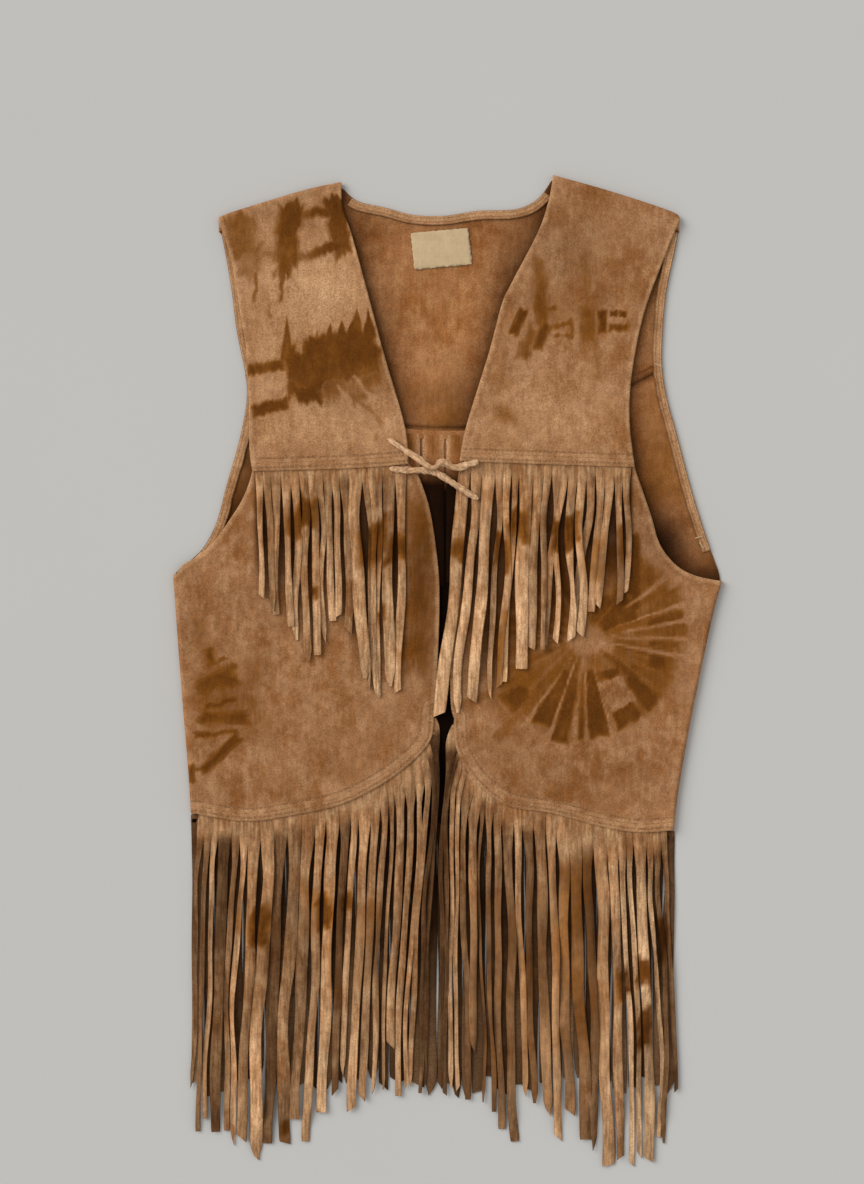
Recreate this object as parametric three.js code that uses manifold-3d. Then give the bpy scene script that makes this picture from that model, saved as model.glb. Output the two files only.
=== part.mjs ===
import * as THREE from 'three';
import { mergeVertices } from 'three/addons/utils/BufferGeometryUtils.js';
import Module from 'manifold-3d';

const wasm = await Module();
wasm.setup();

// Leather fringe vest, laid flat on its back. Millimetres, +X to the viewer's right,
// +Y towards the shoulders, +Z up from the surface. The origin lies on the surface,
// under the middle of the garment's box.

// Driving dimensions
const WALL = 1.4;            // suede of the panels
const STRIP = 1.0;           // suede of fringe strips, turned hems and label
const SEAM = 0.3;            // gap between pieces that meet
const FOLD = 2.6;            // radius of the middle surface round a folded edge
const TURN = 9;              // width that goes on past a fold, to its seam
const LAP = 7;               // width of a fringe strip that is hidden under a panel's edge
const REST = 4.4;            // height of the fronts' middle surface
const HEM_TURN = 7;          // width of the turned hems
const LACE = 3.8;            // diameter of a tie
const STRAND = 0.9;          // thickness of a strand
const SETTLE = 14;           // width over which a front comes down from its fold
const CURL = { height: 3, middle: 300, reach: 60 };  // lift of the yokes' neck edge
const PILE = 4.5;            // height of the strands that bunch at the steep end of the hem

// Heights that follow from them
const FOLD_TOP = WALL / 2 + 2 * FOLD;
const ON_PANEL = WALL / 2 + SEAM + STRIP / 2;
const OVER_STRIP = WALL + 2 * SEAM + STRIP;
const ON_BACK = WALL + SEAM + STRIP / 2;

// Outlines seen from above, each edge as a short table from its outer to its inner end,
// or from its upper to its lower end
const outlines = {
  left: {
    sign: -1,
    shoulder: [{ x: -195.6, y: 384.9 }, { x: -179.3, y: 390.9 }, { x: -122.8, y: 408 },
      { x: -91.2, y: 414.9 }],
    yokeArmhole: [{ x: -195.6, y: 384.9 }, { x: -185.3, y: 353.1 }, { x: -176.8, y: 304.3 },
      { x: -170.8, y: 262.4 }, { x: -169.1, y: 192.2 }, { x: -166.5, y: 170.8 }],
    yokeEdge: [{ x: -91.2, y: 414.9 }, { x: -90.3, y: 395.9 }, { x: -82.6, y: 373.6 },
      { x: -68.1, y: 320.6 }, { x: -54.4, y: 269.2 }, { x: -37.2, y: 210.1 },
      { x: -33.8, y: 176.8 }],
    seam: [{ x: -166.5, y: 170.8 }, { x: -82.6, y: 173.3 }, { x: -33.8, y: 176.8 }],
    bodyTop: [{ x: -165, y: 181 }, { x: -82.6, y: 183.5 }, { x: -37, y: 187 }],
    bodyArmhole: [{ x: -165, y: 181 }, { x: -168.2, y: 164.8 }, { x: -175.1, y: 146.8 },
      { x: -186.2, y: 128.8 }, { x: -200.7, y: 109.1 }, { x: -216.1, y: 96.3 },
      { x: -227, y: 89.5 }, { x: -231.7, y: 82 }],
    side: [{ x: -231.7, y: 82 }, { x: -228.3, y: 34.7 }, { x: -224, y: -22.7 },
      { x: -218.8, y: -85.2 }, { x: -216.5, y: -122 }],
    bodyEdge: [{ x: -37, y: 187 }, { x: -33, y: 177 }, { x: -26, y: 168 },
      { x: -17.5, y: 145.1 }, { x: -12.4, y: 120.3 }, { x: -8.1, y: 85.2 },
      { x: -7.3, y: 57.8 }, { x: -8.1, y: 22.7 }, { x: -9.8, y: -12.4 },
      { x: -11.6, y: -34.7 }],
    hem: [{ x: -216.5, y: -122 }, { x: -172.5, y: -128.8 }, { x: -133.1, y: -123.7 },
      { x: -91.2, y: -114.3 }, { x: -59.5, y: -98.9 }, { x: -33, y: -80 },
      { x: -15, y: -59.5 }, { x: -11.6, y: -34.7 }],
  },
  right: {
    sign: 1,
    shoulder: [{ x: 198.2, y: 384.9 }, { x: 188.7, y: 390.9 }, { x: 136.5, y: 408 },
      { x: 90.3, y: 420.9 }],
    yokeArmhole: [{ x: 198.2, y: 384.9 }, { x: 193.9, y: 375 }, { x: 184.5, y: 352 },
      { x: 167.3, y: 304.3 }, { x: 157.1, y: 252.1 }, { x: 155.4, y: 211.9 },
      { x: 159.6, y: 174.2 }],
    yokeEdge: [{ x: 90.3, y: 420.9 }, { x: 86.9, y: 401.9 }, { x: 77.5, y: 374.5 },
      { x: 54.4, y: 330 }, { x: 46.7, y: 312.9 }, { x: 35.5, y: 270.9 },
      { x: 16.7, y: 210.1 }, { x: 10.7, y: 179.3 }],
    seam: [{ x: 159.6, y: 174.2 }, { x: 80.9, y: 176.8 }, { x: 10.7, y: 179.3 }],
    bodyTop: [{ x: 157, y: 184.5 }, { x: 80.9, y: 187 }, { x: 14, y: 189.5 }],
    bodyArmhole: [{ x: 157, y: 184.5 }, { x: 161, y: 170 }, { x: 167.5, y: 151.1 },
      { x: 174.2, y: 131.4 }, { x: 179.5, y: 112.6 }, { x: 186.5, y: 99.7 },
      { x: 198.5, y: 87.5 }, { x: 213, y: 80.5 }, { x: 231.7, y: 76.5 }],
    side: [{ x: 231.7, y: 76.5 }, { x: 224, y: 48 }, { x: 213.7, y: 0.4 },
      { x: 203.4, y: -50.9 }, { x: 194.5, y: -102.3 }, { x: 190.6, y: -136.5 }],
    bodyEdge: [{ x: 14, y: 189.5 }, { x: 11, y: 176 }, { x: 7.3, y: 146 },
      { x: 3.9, y: 94.6 }, { x: 2.1, y: 26.1 }, { x: 3, y: -25.3 }, { x: 5.6, y: -40.7 }],
    hem: [{ x: 190.6, y: -136.5 }, { x: 163.1, y: -138.2 }, { x: 131.4, y: -133.1 },
      { x: 89.5, y: -122 }, { x: 56.1, y: -116.8 }, { x: 37.2, y: -106.6 },
      { x: 19.3, y: -88.6 }, { x: 7.8, y: -66 }, { x: 5.6, y: -40.7 }],
  },
};

// Back, from the viewer's left to the right
const backNeck = [{ x: -90.8, y: 413.5 }, { x: -77.5, y: 401.9 }, { x: -52.6, y: 395.9 },
  { x: -29.5, y: 389.9 }, { x: -3, y: 389.1 }, { x: 26.1, y: 393.3 }, { x: 54.4, y: 394.2 },
  { x: 69.8, y: 398.5 }, { x: 80.9, y: 407 }, { x: 90, y: 420.5 }];
const backArmholes = {
  left: [{ x: -195.6, y: 385 }, { x: -190, y: 358 }, { x: -184.5, y: 325.7 },
    { x: -180.2, y: 291.5 }, { x: -172.5, y: 253 }, { x: -171.6, y: 231.6 },
    { x: -175.1, y: 209.3 }, { x: -181, y: 185.3 }, { x: -188.8, y: 158.8 },
    { x: -197, y: 128 }, { x: -208, y: 106 }, { x: -221, y: 93 }, { x: -232, y: 84 }],
  right: [{ x: 198.2, y: 385 }, { x: 195.6, y: 366 }, { x: 187, y: 324 },
    { x: 183.6, y: 285 }, { x: 183.6, y: 258 }, { x: 187.9, y: 231.6 },
    { x: 195.6, y: 203.3 }, { x: 207.6, y: 157.9 }, { x: 216, y: 130 },
    { x: 224, y: 106 }, { x: 232, y: 84 }],
};
const backHem = [{ x: -206, y: -123.5 }, { x: 182, y: -137.3 }];
const backSeam = { centre: 208, ends: 255, reach: 178 };

// Fringes: one row for each station along the seam, with the strand's length and lean there
const yokeFringes = {
  left: { count: 17, spread: 0.4, growth: 0.6, gap: 2, rows: [
    { at: 0, length: 108, lean: 5 }, { at: 0.16, length: 126, lean: 6 },
    { at: 0.33, length: 164, lean: 4 }, { at: 0.42, length: 148, lean: 4 },
    { at: 0.5, length: 122, lean: 5 }, { at: 0.57, length: 130, lean: 4 },
    { at: 0.63, length: 174, lean: 4 }, { at: 0.78, length: 196, lean: 3 },
    { at: 0.88, length: 190, lean: 1 }, { at: 1, length: 197, lean: -2 }] },
  right: { count: 18, spread: 0.4, growth: 0.8, gap: 2, rows: [
    { at: 0, length: 109, lean: -3 }, { at: 0.08, length: 115, lean: -7 },
    { at: 0.16, length: 122, lean: -8 }, { at: 0.25, length: 138, lean: -8 },
    { at: 0.4, length: 152, lean: -7 }, { at: 0.55, length: 163, lean: -8 },
    { at: 0.7, length: 189, lean: -10 }, { at: 0.8, length: 200, lean: -12 },
    { at: 0.9, length: 215, lean: -13 }, { at: 1, length: 221, lean: -17 }] },
};
const hemFringes = {
  left: { count: 25, spread: 0.42, gap: 1.3, bunch: 0.74, rows: [
    { at: 0, tipX: -221, tipY: -383 }, { at: 0.1, tipX: -199, tipY: -396 },
    { at: 0.25, tipX: -163, tipY: -410 }, { at: 0.4, tipX: -128, tipY: -414 },
    { at: 0.5, tipX: -104, tipY: -406 }, { at: 0.62, tipX: -76, tipY: -372 },
    { at: 0.74, tipX: -50, tipY: -360 }, { at: 1, tipX: -17, tipY: -357 }] },
  right: { count: 25, spread: 0.42, gap: 1.3, bunch: 0.74, rows: [
    { at: 0, tipX: 197, tipY: -385 }, { at: 0.1, tipX: 174, tipY: -420 },
    { at: 0.22, tipX: 144, tipY: -422 }, { at: 0.36, tipX: 112, tipY: -408 },
    { at: 0.5, tipX: 80, tipY: -408 }, { at: 0.62, tipX: 52, tipY: -404 },
    { at: 0.74, tipX: 23, tipY: -364 }, { at: 1, tipX: -9.5, tipY: -357 }] },
};
const backFringe = { count: 40, spread: 0.25, gap: 0.9, from: -219.5, to: 194.5, tip: -356 };
const SHORT_BY = 36;         // some hem strands are cut or torn shorter than their neighbours
const NARROWEST = 2.4;
const LONGEST_TIP = -424;
const DROOP_FROM = -376;     // below the back's tips the front strands sink to the surface

// Small pieces
const labelCorners = [{ x: -31.2, y: 374.5 }, { x: -28.2, y: 343.3 }, { x: 21, y: 348 },
  { x: 17.5, y: 378.8 }];
const centreStrips = { count: 3, width: 18.5, from: -42, pitch: 20.5, bottom: 70 };

// Ties: the route of each lace, from the seam to its free end
const ties = {
  left: [{ x: -50, y: 172.6, z: 9.0 }, { x: -38, y: 171.6, z: 9.0 }, { x: -28, y: 171.2, z: 9.1 },
    { x: -19, y: 171.2, z: 9.2 }, { x: -11.5, y: 169.8, z: 9.3 }, { x: -5, y: 166.4, z: 9.5 },
    { x: 2.5, y: 161.6, z: 9.7 }, { x: 12, y: 155.4, z: 9.8 }, { x: 26, y: 146.4, z: 9.8 }],
  right: [{ x: 26, y: 178.6, z: 10.1 }, { x: 17, y: 176, z: 9.9 }, { x: 9, y: 173.6, z: 9.9 },
    { x: 3.5, y: 174.2, z: 10.4 }, { x: -1.5, y: 177.4, z: 11.4 }, { x: -7, y: 177.2, z: 13 },
    { x: -11, y: 173.2, z: 14.1 }, { x: -16, y: 174.2, z: 13.9 }, { x: -23.5, y: 179.8, z: 12.9 },
    { x: -37, y: 188.9, z: 11.6 }, { x: -51, y: 198.4, z: 10.8 }],
};

// Colours from the photograph
const SUEDE = 0x966a46;
const SUEDE_LIGHT = 0xa9794d;
const SUEDE_INSIDE = 0xa56e41;
const LINEN = 0xc8b487;

const vest = new THREE.Group();

function add(name, geometry, color, roughness = 0.95) {
  const material = new THREE.MeshStandardMaterial({ color, roughness, metalness: 0 });
  const mesh = new THREE.Mesh(geometry, material);
  mesh.name = name;
  vest.add(mesh);
}

function curve(rows) {
  return new THREE.SplineCurve(rows.map(({ x, y }) => new THREE.Vector2(x, y)));
}

// Value of a table's column at a place along it, straight between its rows
function column(rows, at, name) {
  const next = Math.max(1, rows.findIndex((row) => row.at >= at));
  const [a, b] = [rows[next - 1], rows[next]];
  return THREE.MathUtils.mapLinear(at, a.at, b.at, a[name], b[name]);
}

// A repeatable uneven number from -1 to 1 for the i-th thing of its kind
function uneven(i, kind) {
  const value = Math.sin(i * 12.9898 + kind * 78.233) * 43758.5453;
  return 2 * (value - Math.floor(value)) - 1;
}

// Height of the fronts' middle surface: suede lying on suede, never quite level
function lie(x, y) {
  return REST + 0.35 * Math.sin(x / 31 + y / 47) + 0.25 * Math.sin(x / 17 - y / 58 + 1.3);
}

// X of an edge at a given height, held beyond its ends
function edgeAt(curves) {
  const points = curves.flatMap((part) => part.getSpacedPoints(60));
  return (y) => {
    if (y >= points[0].y) return points[0].x;
    for (let i = 1; i < points.length; i += 1) {
      if (y >= points[i].y) {
        const [a, b] = [points[i - 1], points[i]];
        return THREE.MathUtils.mapLinear(y, a.y, b.y, a.x, b.x);
      }
    }
    return points[points.length - 1].x;
  };
}

// Y of a crossing edge at a share u of the width
function crossingAt(edge, share) {
  const points = edge.getSpacedPoints(80).map((p) => ({ u: share(p), y: p.y }));
  return (u) => {
    const next = points.findIndex((p) => p.u >= u);
    if (next < 0) return points[points.length - 1].y;
    if (next === 0) return points[0].y;
    const [a, b] = [points[next - 1], points[next]];
    return THREE.MathUtils.mapLinear(u, a.u, b.u, a.y, b.y);
  };
}

// Rows of points over a front panel. Columns run from its outer to its inner edge, and
// rows from its top to its bottom; the outer edge's curves share the rows out
function frontGrid({ outer, outerRows, inner, top, bottom, columns, height }) {
  const outerX = edgeAt(outer);
  const innerX = edgeAt([inner]);
  const share = (p) => (p.x - outerX(p.y)) / (innerX(p.y) - outerX(p.y));
  const topY = crossingAt(top, share);
  const stations = outer.flatMap((part, i) => part.getSpacedPoints(outerRows[i]).slice(i ? 1 : 0));
  const last = stations.length - 1;
  const span = stations[last].y - stations[0].y;
  return stations.map((station, row) => bottom.getSpacedPoints(columns).map((foot) => {
    const u = THREE.MathUtils.clamp(share(foot), 0, 1);
    const way = (1 - u) * (station.y - stations[0].y) / span + u * row / last;
    const y = topY(u) + (foot.y - topY(u)) * way;
    const x = (1 - u) * outerX(y) + u * innerX(y);
    return new THREE.Vector3(x, y, height({ x, y, u, foot: foot.y, head: topY(u) }));
  }));
}

// Places on the half circle round a folded edge, and on the width past it, as the way
// outwards and the height
function foldSection() {
  const past = [TURN, TURN / 2].map((inward) => ({ out: -inward, z: WALL / 2 }));
  const round = [180, 144, 108, 72, 36].map((degrees) => {
    const angle = THREE.MathUtils.degToRad(degrees);
    return { out: FOLD * Math.sin(angle), z: WALL / 2 + FOLD * (1 + Math.cos(angle)) };
  });
  return [...past, ...round];
}

// A closed surface from its corners and triangles, with its faces turned outwards
function closed(positions, faces) {
  const corner = (i) => new THREE.Vector3().fromArray(positions, 3 * i);
  let volume = 0;
  for (let i = 0; i < faces.length; i += 3) {
    const [a, b, c] = faces.slice(i, i + 3).map(corner);
    volume += a.dot(b.cross(c));
  }
  if (volume < 0) faces.reverse();
  const geometry = new THREE.BufferGeometry();
  geometry.setAttribute('position', new THREE.Float32BufferAttribute(positions, 3));
  geometry.setIndex(faces);
  return geometry;
}

// A closed wall of even thickness round a grid of middle points. Cells with a point
// missing are left out
function wall(grid, thickness) {
  const at = (i, j) => (grid[i] ? grid[i][j] : undefined) || null;
  const slope = (i, j, di, dj) => {
    const from = at(i - di, j - dj) || at(i, j);
    const to = at(i + di, j + dj) || at(i, j);
    return to.clone().sub(from);
  };
  const positions = [];
  const numbers = new Map();
  grid.forEach((row, i) => row.forEach((point, j) => {
    if (!point) return;
    const normal = slope(i, j, 0, 1).cross(slope(i, j, 1, 0)).normalize();
    numbers.set(`${i},${j}`, positions.length / 3);
    positions.push(...point.clone().addScaledVector(normal, thickness / 2).toArray());
    positions.push(...point.clone().addScaledVector(normal, -thickness / 2).toArray());
  }));
  const faces = [];
  const quad = (a, b, c, d) => faces.push(a, b, c, a, c, d);
  const number = (i, j) => numbers.get(`${i},${j}`);
  const cell = (i, j) => at(i, j) && at(i + 1, j) && at(i, j + 1) && at(i + 1, j + 1);
  grid.forEach((row, i) => row.forEach((point, j) => {
    if (!cell(i, j)) return;
    const [a, b, c, d] = [number(i, j), number(i, j + 1), number(i + 1, j + 1), number(i + 1, j)];
    quad(a, d, c, b);
    quad(a + 1, b + 1, c + 1, d + 1);
    if (!cell(i - 1, j)) quad(a, b, b + 1, a + 1);
    if (!cell(i + 1, j)) quad(c, d, d + 1, c + 1);
    if (!cell(i, j - 1)) quad(d, a, a + 1, d + 1);
    if (!cell(i, j + 1)) quad(b, c, c + 1, b + 1);
  }));
  return closed(positions, faces);
}

// A flat plate of the wall's thickness from a closed outline
function plate(points, bottom, thickness) {
  const options = { depth: thickness, bevelEnabled: false };
  const geometry = new THREE.ExtrudeGeometry(new THREE.Shape(points), options);
  return geometry.translate(0, 0, bottom);
}

// A band of the given width along one side of a line, as two rows of middle points
function band(line, from, to, height) {
  const shift = (away) => line.map((point, i) => {
    const before = line[Math.max(0, i - 1)];
    const after = line[Math.min(line.length - 1, i + 1)];
    const way = after.clone().sub(before).normalize();
    const x = point.x - way.y * away;
    const y = point.y + way.x * away;
    return new THREE.Vector3(x, y, height(x, y));
  });
  return [shift(from), shift(to)];
}

// A strand: a flat four-sided strip through its middle points
function strand(points, width, thickness) {
  const positions = [];
  const faces = [];
  const steps = points.length - 1;
  points.forEach((middle, i) => {
    const way = points[Math.min(steps, i + 1)].clone().sub(points[Math.max(0, i - 1)]);
    const side = new THREE.Vector3(-way.y, way.x, 0).normalize().multiplyScalar(width / 2);
    const up = new THREE.Vector3(0, 0, thickness / 2);
    [[1, 1], [-1, 1], [-1, -1], [1, -1]].forEach(([s, t]) => {
      positions.push(...middle.clone().addScaledVector(side, s).addScaledVector(up, t).toArray());
    });
  });
  for (let i = 0; i < steps; i += 1) {
    for (let k = 0; k < 4; k += 1) {
      const [a, b] = [4 * i + k, 4 * i + ((k + 1) % 4)];
      faces.push(a, b, b + 4, a, b + 4, a + 4);
    }
  }
  const end = 4 * steps;
  faces.push(0, 2, 1, 0, 3, 2, end, end + 1, end + 2, end, end + 2, end + 3);
  return closed(positions, faces);
}

function toManifold(geometry) {
  const bare = geometry.clone();
  bare.deleteAttribute('normal');
  bare.deleteAttribute('uv');
  const merged = mergeVertices(bare);
  const mesh = new wasm.Mesh({
    numProp: 3,
    vertProperties: Float32Array.from(merged.getAttribute('position').array),
    triVerts: Uint32Array.from(merged.getIndex().array),
  });
  return new wasm.Manifold(mesh);
}

// Joins closed geometries into one
function fuse(geometries) {
  const joined = geometries.map(toManifold).reduce((all, next) => all.add(next));
  const { vertProperties, triVerts } = joined.getMesh();
  const geometry = new THREE.BufferGeometry();
  geometry.setAttribute('position', new THREE.BufferAttribute(vertProperties, 3));
  geometry.setIndex(new THREE.BufferAttribute(triVerts, 1));
  return geometry;
}

// Middle points of a strand at the given shares of a flat curve seen from above, raised
// by height(point, share)
function route(controls, shares, height) {
  const path = new THREE.CubicBezierCurve(...controls);
  return shares.map((share) => {
    const p = path.getPoint(share);
    return new THREE.Vector3(p.x, p.y, height(p, share));
  });
}

function evenly(steps) {
  return Array.from({ length: steps + 1 }, (_, i) => i / steps);
}

// Front yokes: each folds over its shoulder, and its lower edge lies over the fringe strip
function frontYoke(side) {
  const edges = outlines[side];
  const grid = frontGrid({
    outer: [curve(edges.yokeArmhole)],
    outerRows: [13],
    inner: curve(edges.yokeEdge),
    top: curve(edges.shoulder),
    bottom: curve(edges.seam),
    columns: 9,
    height: ({ x, y, u, foot, head }) => {
      const raised = 1 - THREE.MathUtils.smoothstep(y - foot, 13, 48);
      const along = Math.exp(-(((y - CURL.middle) / CURL.reach) ** 2));
      const curl = CURL.height * along * THREE.MathUtils.smoothstep(u, 0.6, 1);
      const flat = lie(x, y) + OVER_STRIP * raised + curl;
      const near = Math.exp(-(head - y) / SETTLE);
      return THREE.MathUtils.lerp(flat, FOLD_TOP, near);
    },
  });
  const over = foldSection().map(({ out, z }) => grid[0].map(
    (point) => new THREE.Vector3(point.x, point.y + out, z),
  ));
  return wall([...over, ...grid], WALL);
}

// Front bodies: each folds round its side below the armhole
function frontBody(side) {
  const edges = outlines[side];
  const armholeRows = 7;
  const sideX = edgeAt([curve(edges.side)]);
  const grid = frontGrid({
    outer: [curve(edges.bodyArmhole), curve(edges.side)],
    outerRows: [armholeRows, 8],
    inner: curve(edges.bodyEdge),
    top: curve(edges.bodyTop),
    bottom: curve(edges.hem),
    columns: 13,
    height: ({ x, y }) => {
      const underArm = THREE.MathUtils.smoothstep(edges.side[0].y + 30 - y, 0, 30);
      const near = Math.exp(-Math.abs(x - sideX(y)) / SETTLE) * underArm;
      return THREE.MathUtils.lerp(lie(x, y), FOLD_TOP, near);
    },
  });
  const wrapped = grid.map((row, i) => [
    ...foldSection().map(({ out, z }) => (i < armholeRows
      ? null : new THREE.Vector3(row[0].x + edges.sign * out, row[0].y, z))),
    ...row,
  ]);
  return wall(wrapped, WALL);
}

// Back: two flat plates that meet at the yoke seam, and end at the fronts' seams
function backHemAt(x) {
  const [left, right] = backHem;
  return THREE.MathUtils.mapLinear(x, left.x, right.x, left.y, right.y);
}

function backSeamAt(x, below) {
  const bend = (x / backSeam.reach) ** 2;
  return backSeam.centre + (backSeam.ends - backSeam.centre) * bend - below;
}

function backOutlines() {
  const inset = TURN + SEAM;
  const tab = FOLD - WALL / 2 - SEAM;
  const armholes = {
    left: curve(backArmholes.left).getSpacedPoints(30),
    right: curve(backArmholes.right).getSpacedPoints(30),
  };
  const isYoke = (p) => p.y > backSeamAt(p.x, 0) + 1;
  const isBody = (p) => p.y < backSeamAt(p.x, SEAM) - 1;
  const shoulder = (side) => curve(outlines[side].shoulder).getSpacedPoints(6)
    .map((p) => new THREE.Vector2(p.x, p.y - inset));
  const below = (line, side) => line.filter((p) => p.y < shoulder(side)[0].y - 1);
  const seam = (from, to, gap) => Array.from({ length: 11 }, (_, i) => {
    const x = THREE.MathUtils.lerp(from, to, i / 10);
    return new THREE.Vector2(x, backSeamAt(x, gap));
  });
  const onSeam = (side) => edgeAt([curve(backArmholes[side])])(backSeam.ends);
  const yoke = [
    ...below(armholes.left, 'left').filter(isYoke).reverse(),
    ...shoulder('left'),
    ...curve(backNeck).getSpacedPoints(18),
    ...shoulder('right').reverse(),
    ...below(armholes.right, 'right').filter(isYoke),
    ...seam(onSeam('right'), onSeam('left'), 0),
  ];
  const sideLine = (side) => {
    const { sign, side: rows } = outlines[side];
    return curve(rows).getSpacedPoints(7)
      .map((p) => new THREE.Vector2(p.x - sign * inset, p.y))
      .filter((p) => p.y > backHemAt(p.x) + 3);
  };
  const hemCorner = (side) => {
    const { y } = backHem[side === 'left' ? 0 : 1];
    const { sign, side: rows } = outlines[side];
    return new THREE.Vector2(edgeAt([curve(rows)])(y) - sign * inset, y);
  };
  // Above the row where each front turns under, the back reaches out to the fold
  const pit = (side) => {
    const { sign, side: [top] } = outlines[side];
    return [new THREE.Vector2(top.x + sign * tab, top.y + SEAM),
      new THREE.Vector2(top.x - sign * inset, top.y + SEAM)];
  };
  const armhole = (side) => armholes[side].filter(isBody)
    .filter((p) => p.y > outlines[side].side[0].y + 2);
  const body = [
    ...seam(onSeam('left'), onSeam('right'), SEAM),
    ...armhole('right'),
    ...pit('right'),
    ...sideLine('right').slice(1),
    hemCorner('right'),
    hemCorner('left'),
    ...sideLine('left').slice(1).reverse(),
    ...pit('left').reverse(),
    ...armhole('left').reverse(),
  ];
  return { yoke, body };
}

// Turned hems lie on the inside of the back along its open edges
function turnedHem(rows, from, to, side) {
  const line = curve(rows).getSpacedPoints(30).filter((p, i) => i >= from && i <= to);
  return wall(band(line, side * SEAM, side * (SEAM + HEM_TURN), () => ON_BACK), STRIP);
}

// Uneven cuts along a strip: each strand's middle and width, as shares of the strip's length
function cuts({ count, spread, growth = 0 }, kind) {
  const sizes = Array.from({ length: count },
    (_, i) => (1 + spread * uneven(i, kind)) * (1 + growth * i / count));
  const sum = (list) => list.reduce((all, next) => all + next, 0);
  return sizes.map((size, i) => ({
    at: (sum(sizes.slice(0, i)) + size / 2) / sum(sizes),
    share: size / sum(sizes),
  }));
}

// Yoke fringes: the strip lies on the body, under the yoke's edge
function yokeFringe(side) {
  const { gap, rows } = yokeFringes[side];
  const { sign, seam } = outlines[side];
  const seamCurve = curve(seam);
  const inset = 0.018;
  const place = (at) => seamCurve.getPointAt(THREE.MathUtils.lerp(inset, 1 - inset, at));
  const line = Array.from({ length: 9 }, (_, i) => place(i / 8));
  const onBody = (x, y) => lie(x, y) + ON_PANEL;
  const strip = wall(band(line, -sign * 0.6, -sign * LAP, onBody), STRIP);
  const strands = cuts(yokeFringes[side], 14).map(({ at, share }, i) => {
    const root = place(at);
    const width = share * (1 - 2 * inset) * seamCurve.getLength() - gap;
    const length = column(rows, at, 'length') + 5 * uneven(i, 1);
    const lean = column(rows, at, 'lean') + 0.4 * uneven(i, 2);
    const bow = 1.1 * uneven(i, 3);
    const lift = 0.5 + 0.4 * uneven(i, 4);
    const point = (way, sway) => new THREE.Vector2(
      root.x + lean * way + sway,
      root.y - length * way,
    );
    const start = new THREE.Vector2(root.x, root.y + LAP / 2);
    const points = route([start, point(0.3, bow), point(0.7, -bow), point(1, 0)], evenly(6),
      (p, way) => onBody(p.x, p.y) + lift * way + 0.3 * Math.min(1, 4 * way));
    return strand(points, width, STRAND);
  });
  return fuse([strip, ...strands]);
}

// Hem fringes of the fronts: the strip lies under the body's edge. On the steep part of
// the curve the strands bunch, so they leave it one above another
function hemFringe(side) {
  const { gap, bunch, rows } = hemFringes[side];
  const { sign, hem } = outlines[side];
  const hemCurve = curve(hem);
  const inset = 0.014;
  const place = (at) => hemCurve.getPointAt(THREE.MathUtils.lerp(inset, 1 - inset, at));
  const line = Array.from({ length: 19 }, (_, i) => place(i / 18));
  const underBody = (x, y) => lie(x, y) - ON_PANEL;
  const strip = wall(band(line, -sign * 0.6, -sign * LAP, underBody), STRIP);
  const strands = cuts(hemFringes[side], 5).map(({ at, share }, i) => {
    const root = place(at);
    const way = hemCurve.getTangentAt(THREE.MathUtils.lerp(inset, 1 - inset, at));
    const out = new THREE.Vector2(way.y, -way.x).multiplyScalar(-sign);
    const steep = THREE.MathUtils.smoothstep(at, bunch - 0.08, 1);
    const tipX = column(rows, at, 'tipX') + 0.35 * uneven(i, 6) * (1 - steep);
    const short = uneven(i, 9) > 0.25 ? SHORT_BY * (1 - steep) : 0;
    const tipY = Math.max(LONGEST_TIP, column(rows, at, 'tipY') + 9 * uneven(i, 7) + short);
    const drop = root.y - tipY;
    const sway = 0.35 * uneven(i, 8) * (1 - steep);
    const ends = [at - share / 2, at + share / 2];
    const [tipRoom, rootRoom] = [(end) => column(rows, end, 'tipX'), (end) => place(end).x]
      .map((edge) => Math.abs(edge(ends[1]) - edge(ends[0])));
    const room = THREE.MathUtils.lerp(Math.min(tipRoom, rootRoom), tipRoom, steep);
    const width = Math.max(NARROWEST, room - gap * (1 - 0.4 * steep));
    const controls = [
      root.clone().addScaledVector(out, -LAP / 2),
      root.clone().addScaledVector(out, THREE.MathUtils.lerp(14, 11, steep))
        .add(new THREE.Vector2(0, -0.06 * drop)),
      new THREE.Vector2(tipX + sway, root.y - 0.55 * drop),
      new THREE.Vector2(tipX, tipY),
    ];
    const head = underBody(root.x, root.y);
    const points = route(controls, [0, 0.1, 0.17, 0.25, 0.4, 0.55, 0.7, 0.85, 1], (p, done) => {
      const pile = PILE * steep * (1 - THREE.MathUtils.smoothstep(done, 0.55, 0.9));
      const clear = THREE.MathUtils.smoothstep(done, 0.1, 0.27);
      const lying = THREE.MathUtils.lerp(head, ON_BACK + 0.1 + pile, clear);
      const sunk = THREE.MathUtils.smoothstep(DROOP_FROM - p.y, 0, 18);
      return THREE.MathUtils.lerp(lying, 1, sunk);
    });
    return strand(points, width, STRAND);
  });
  return fuse([strip, ...strands]);
}

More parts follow.
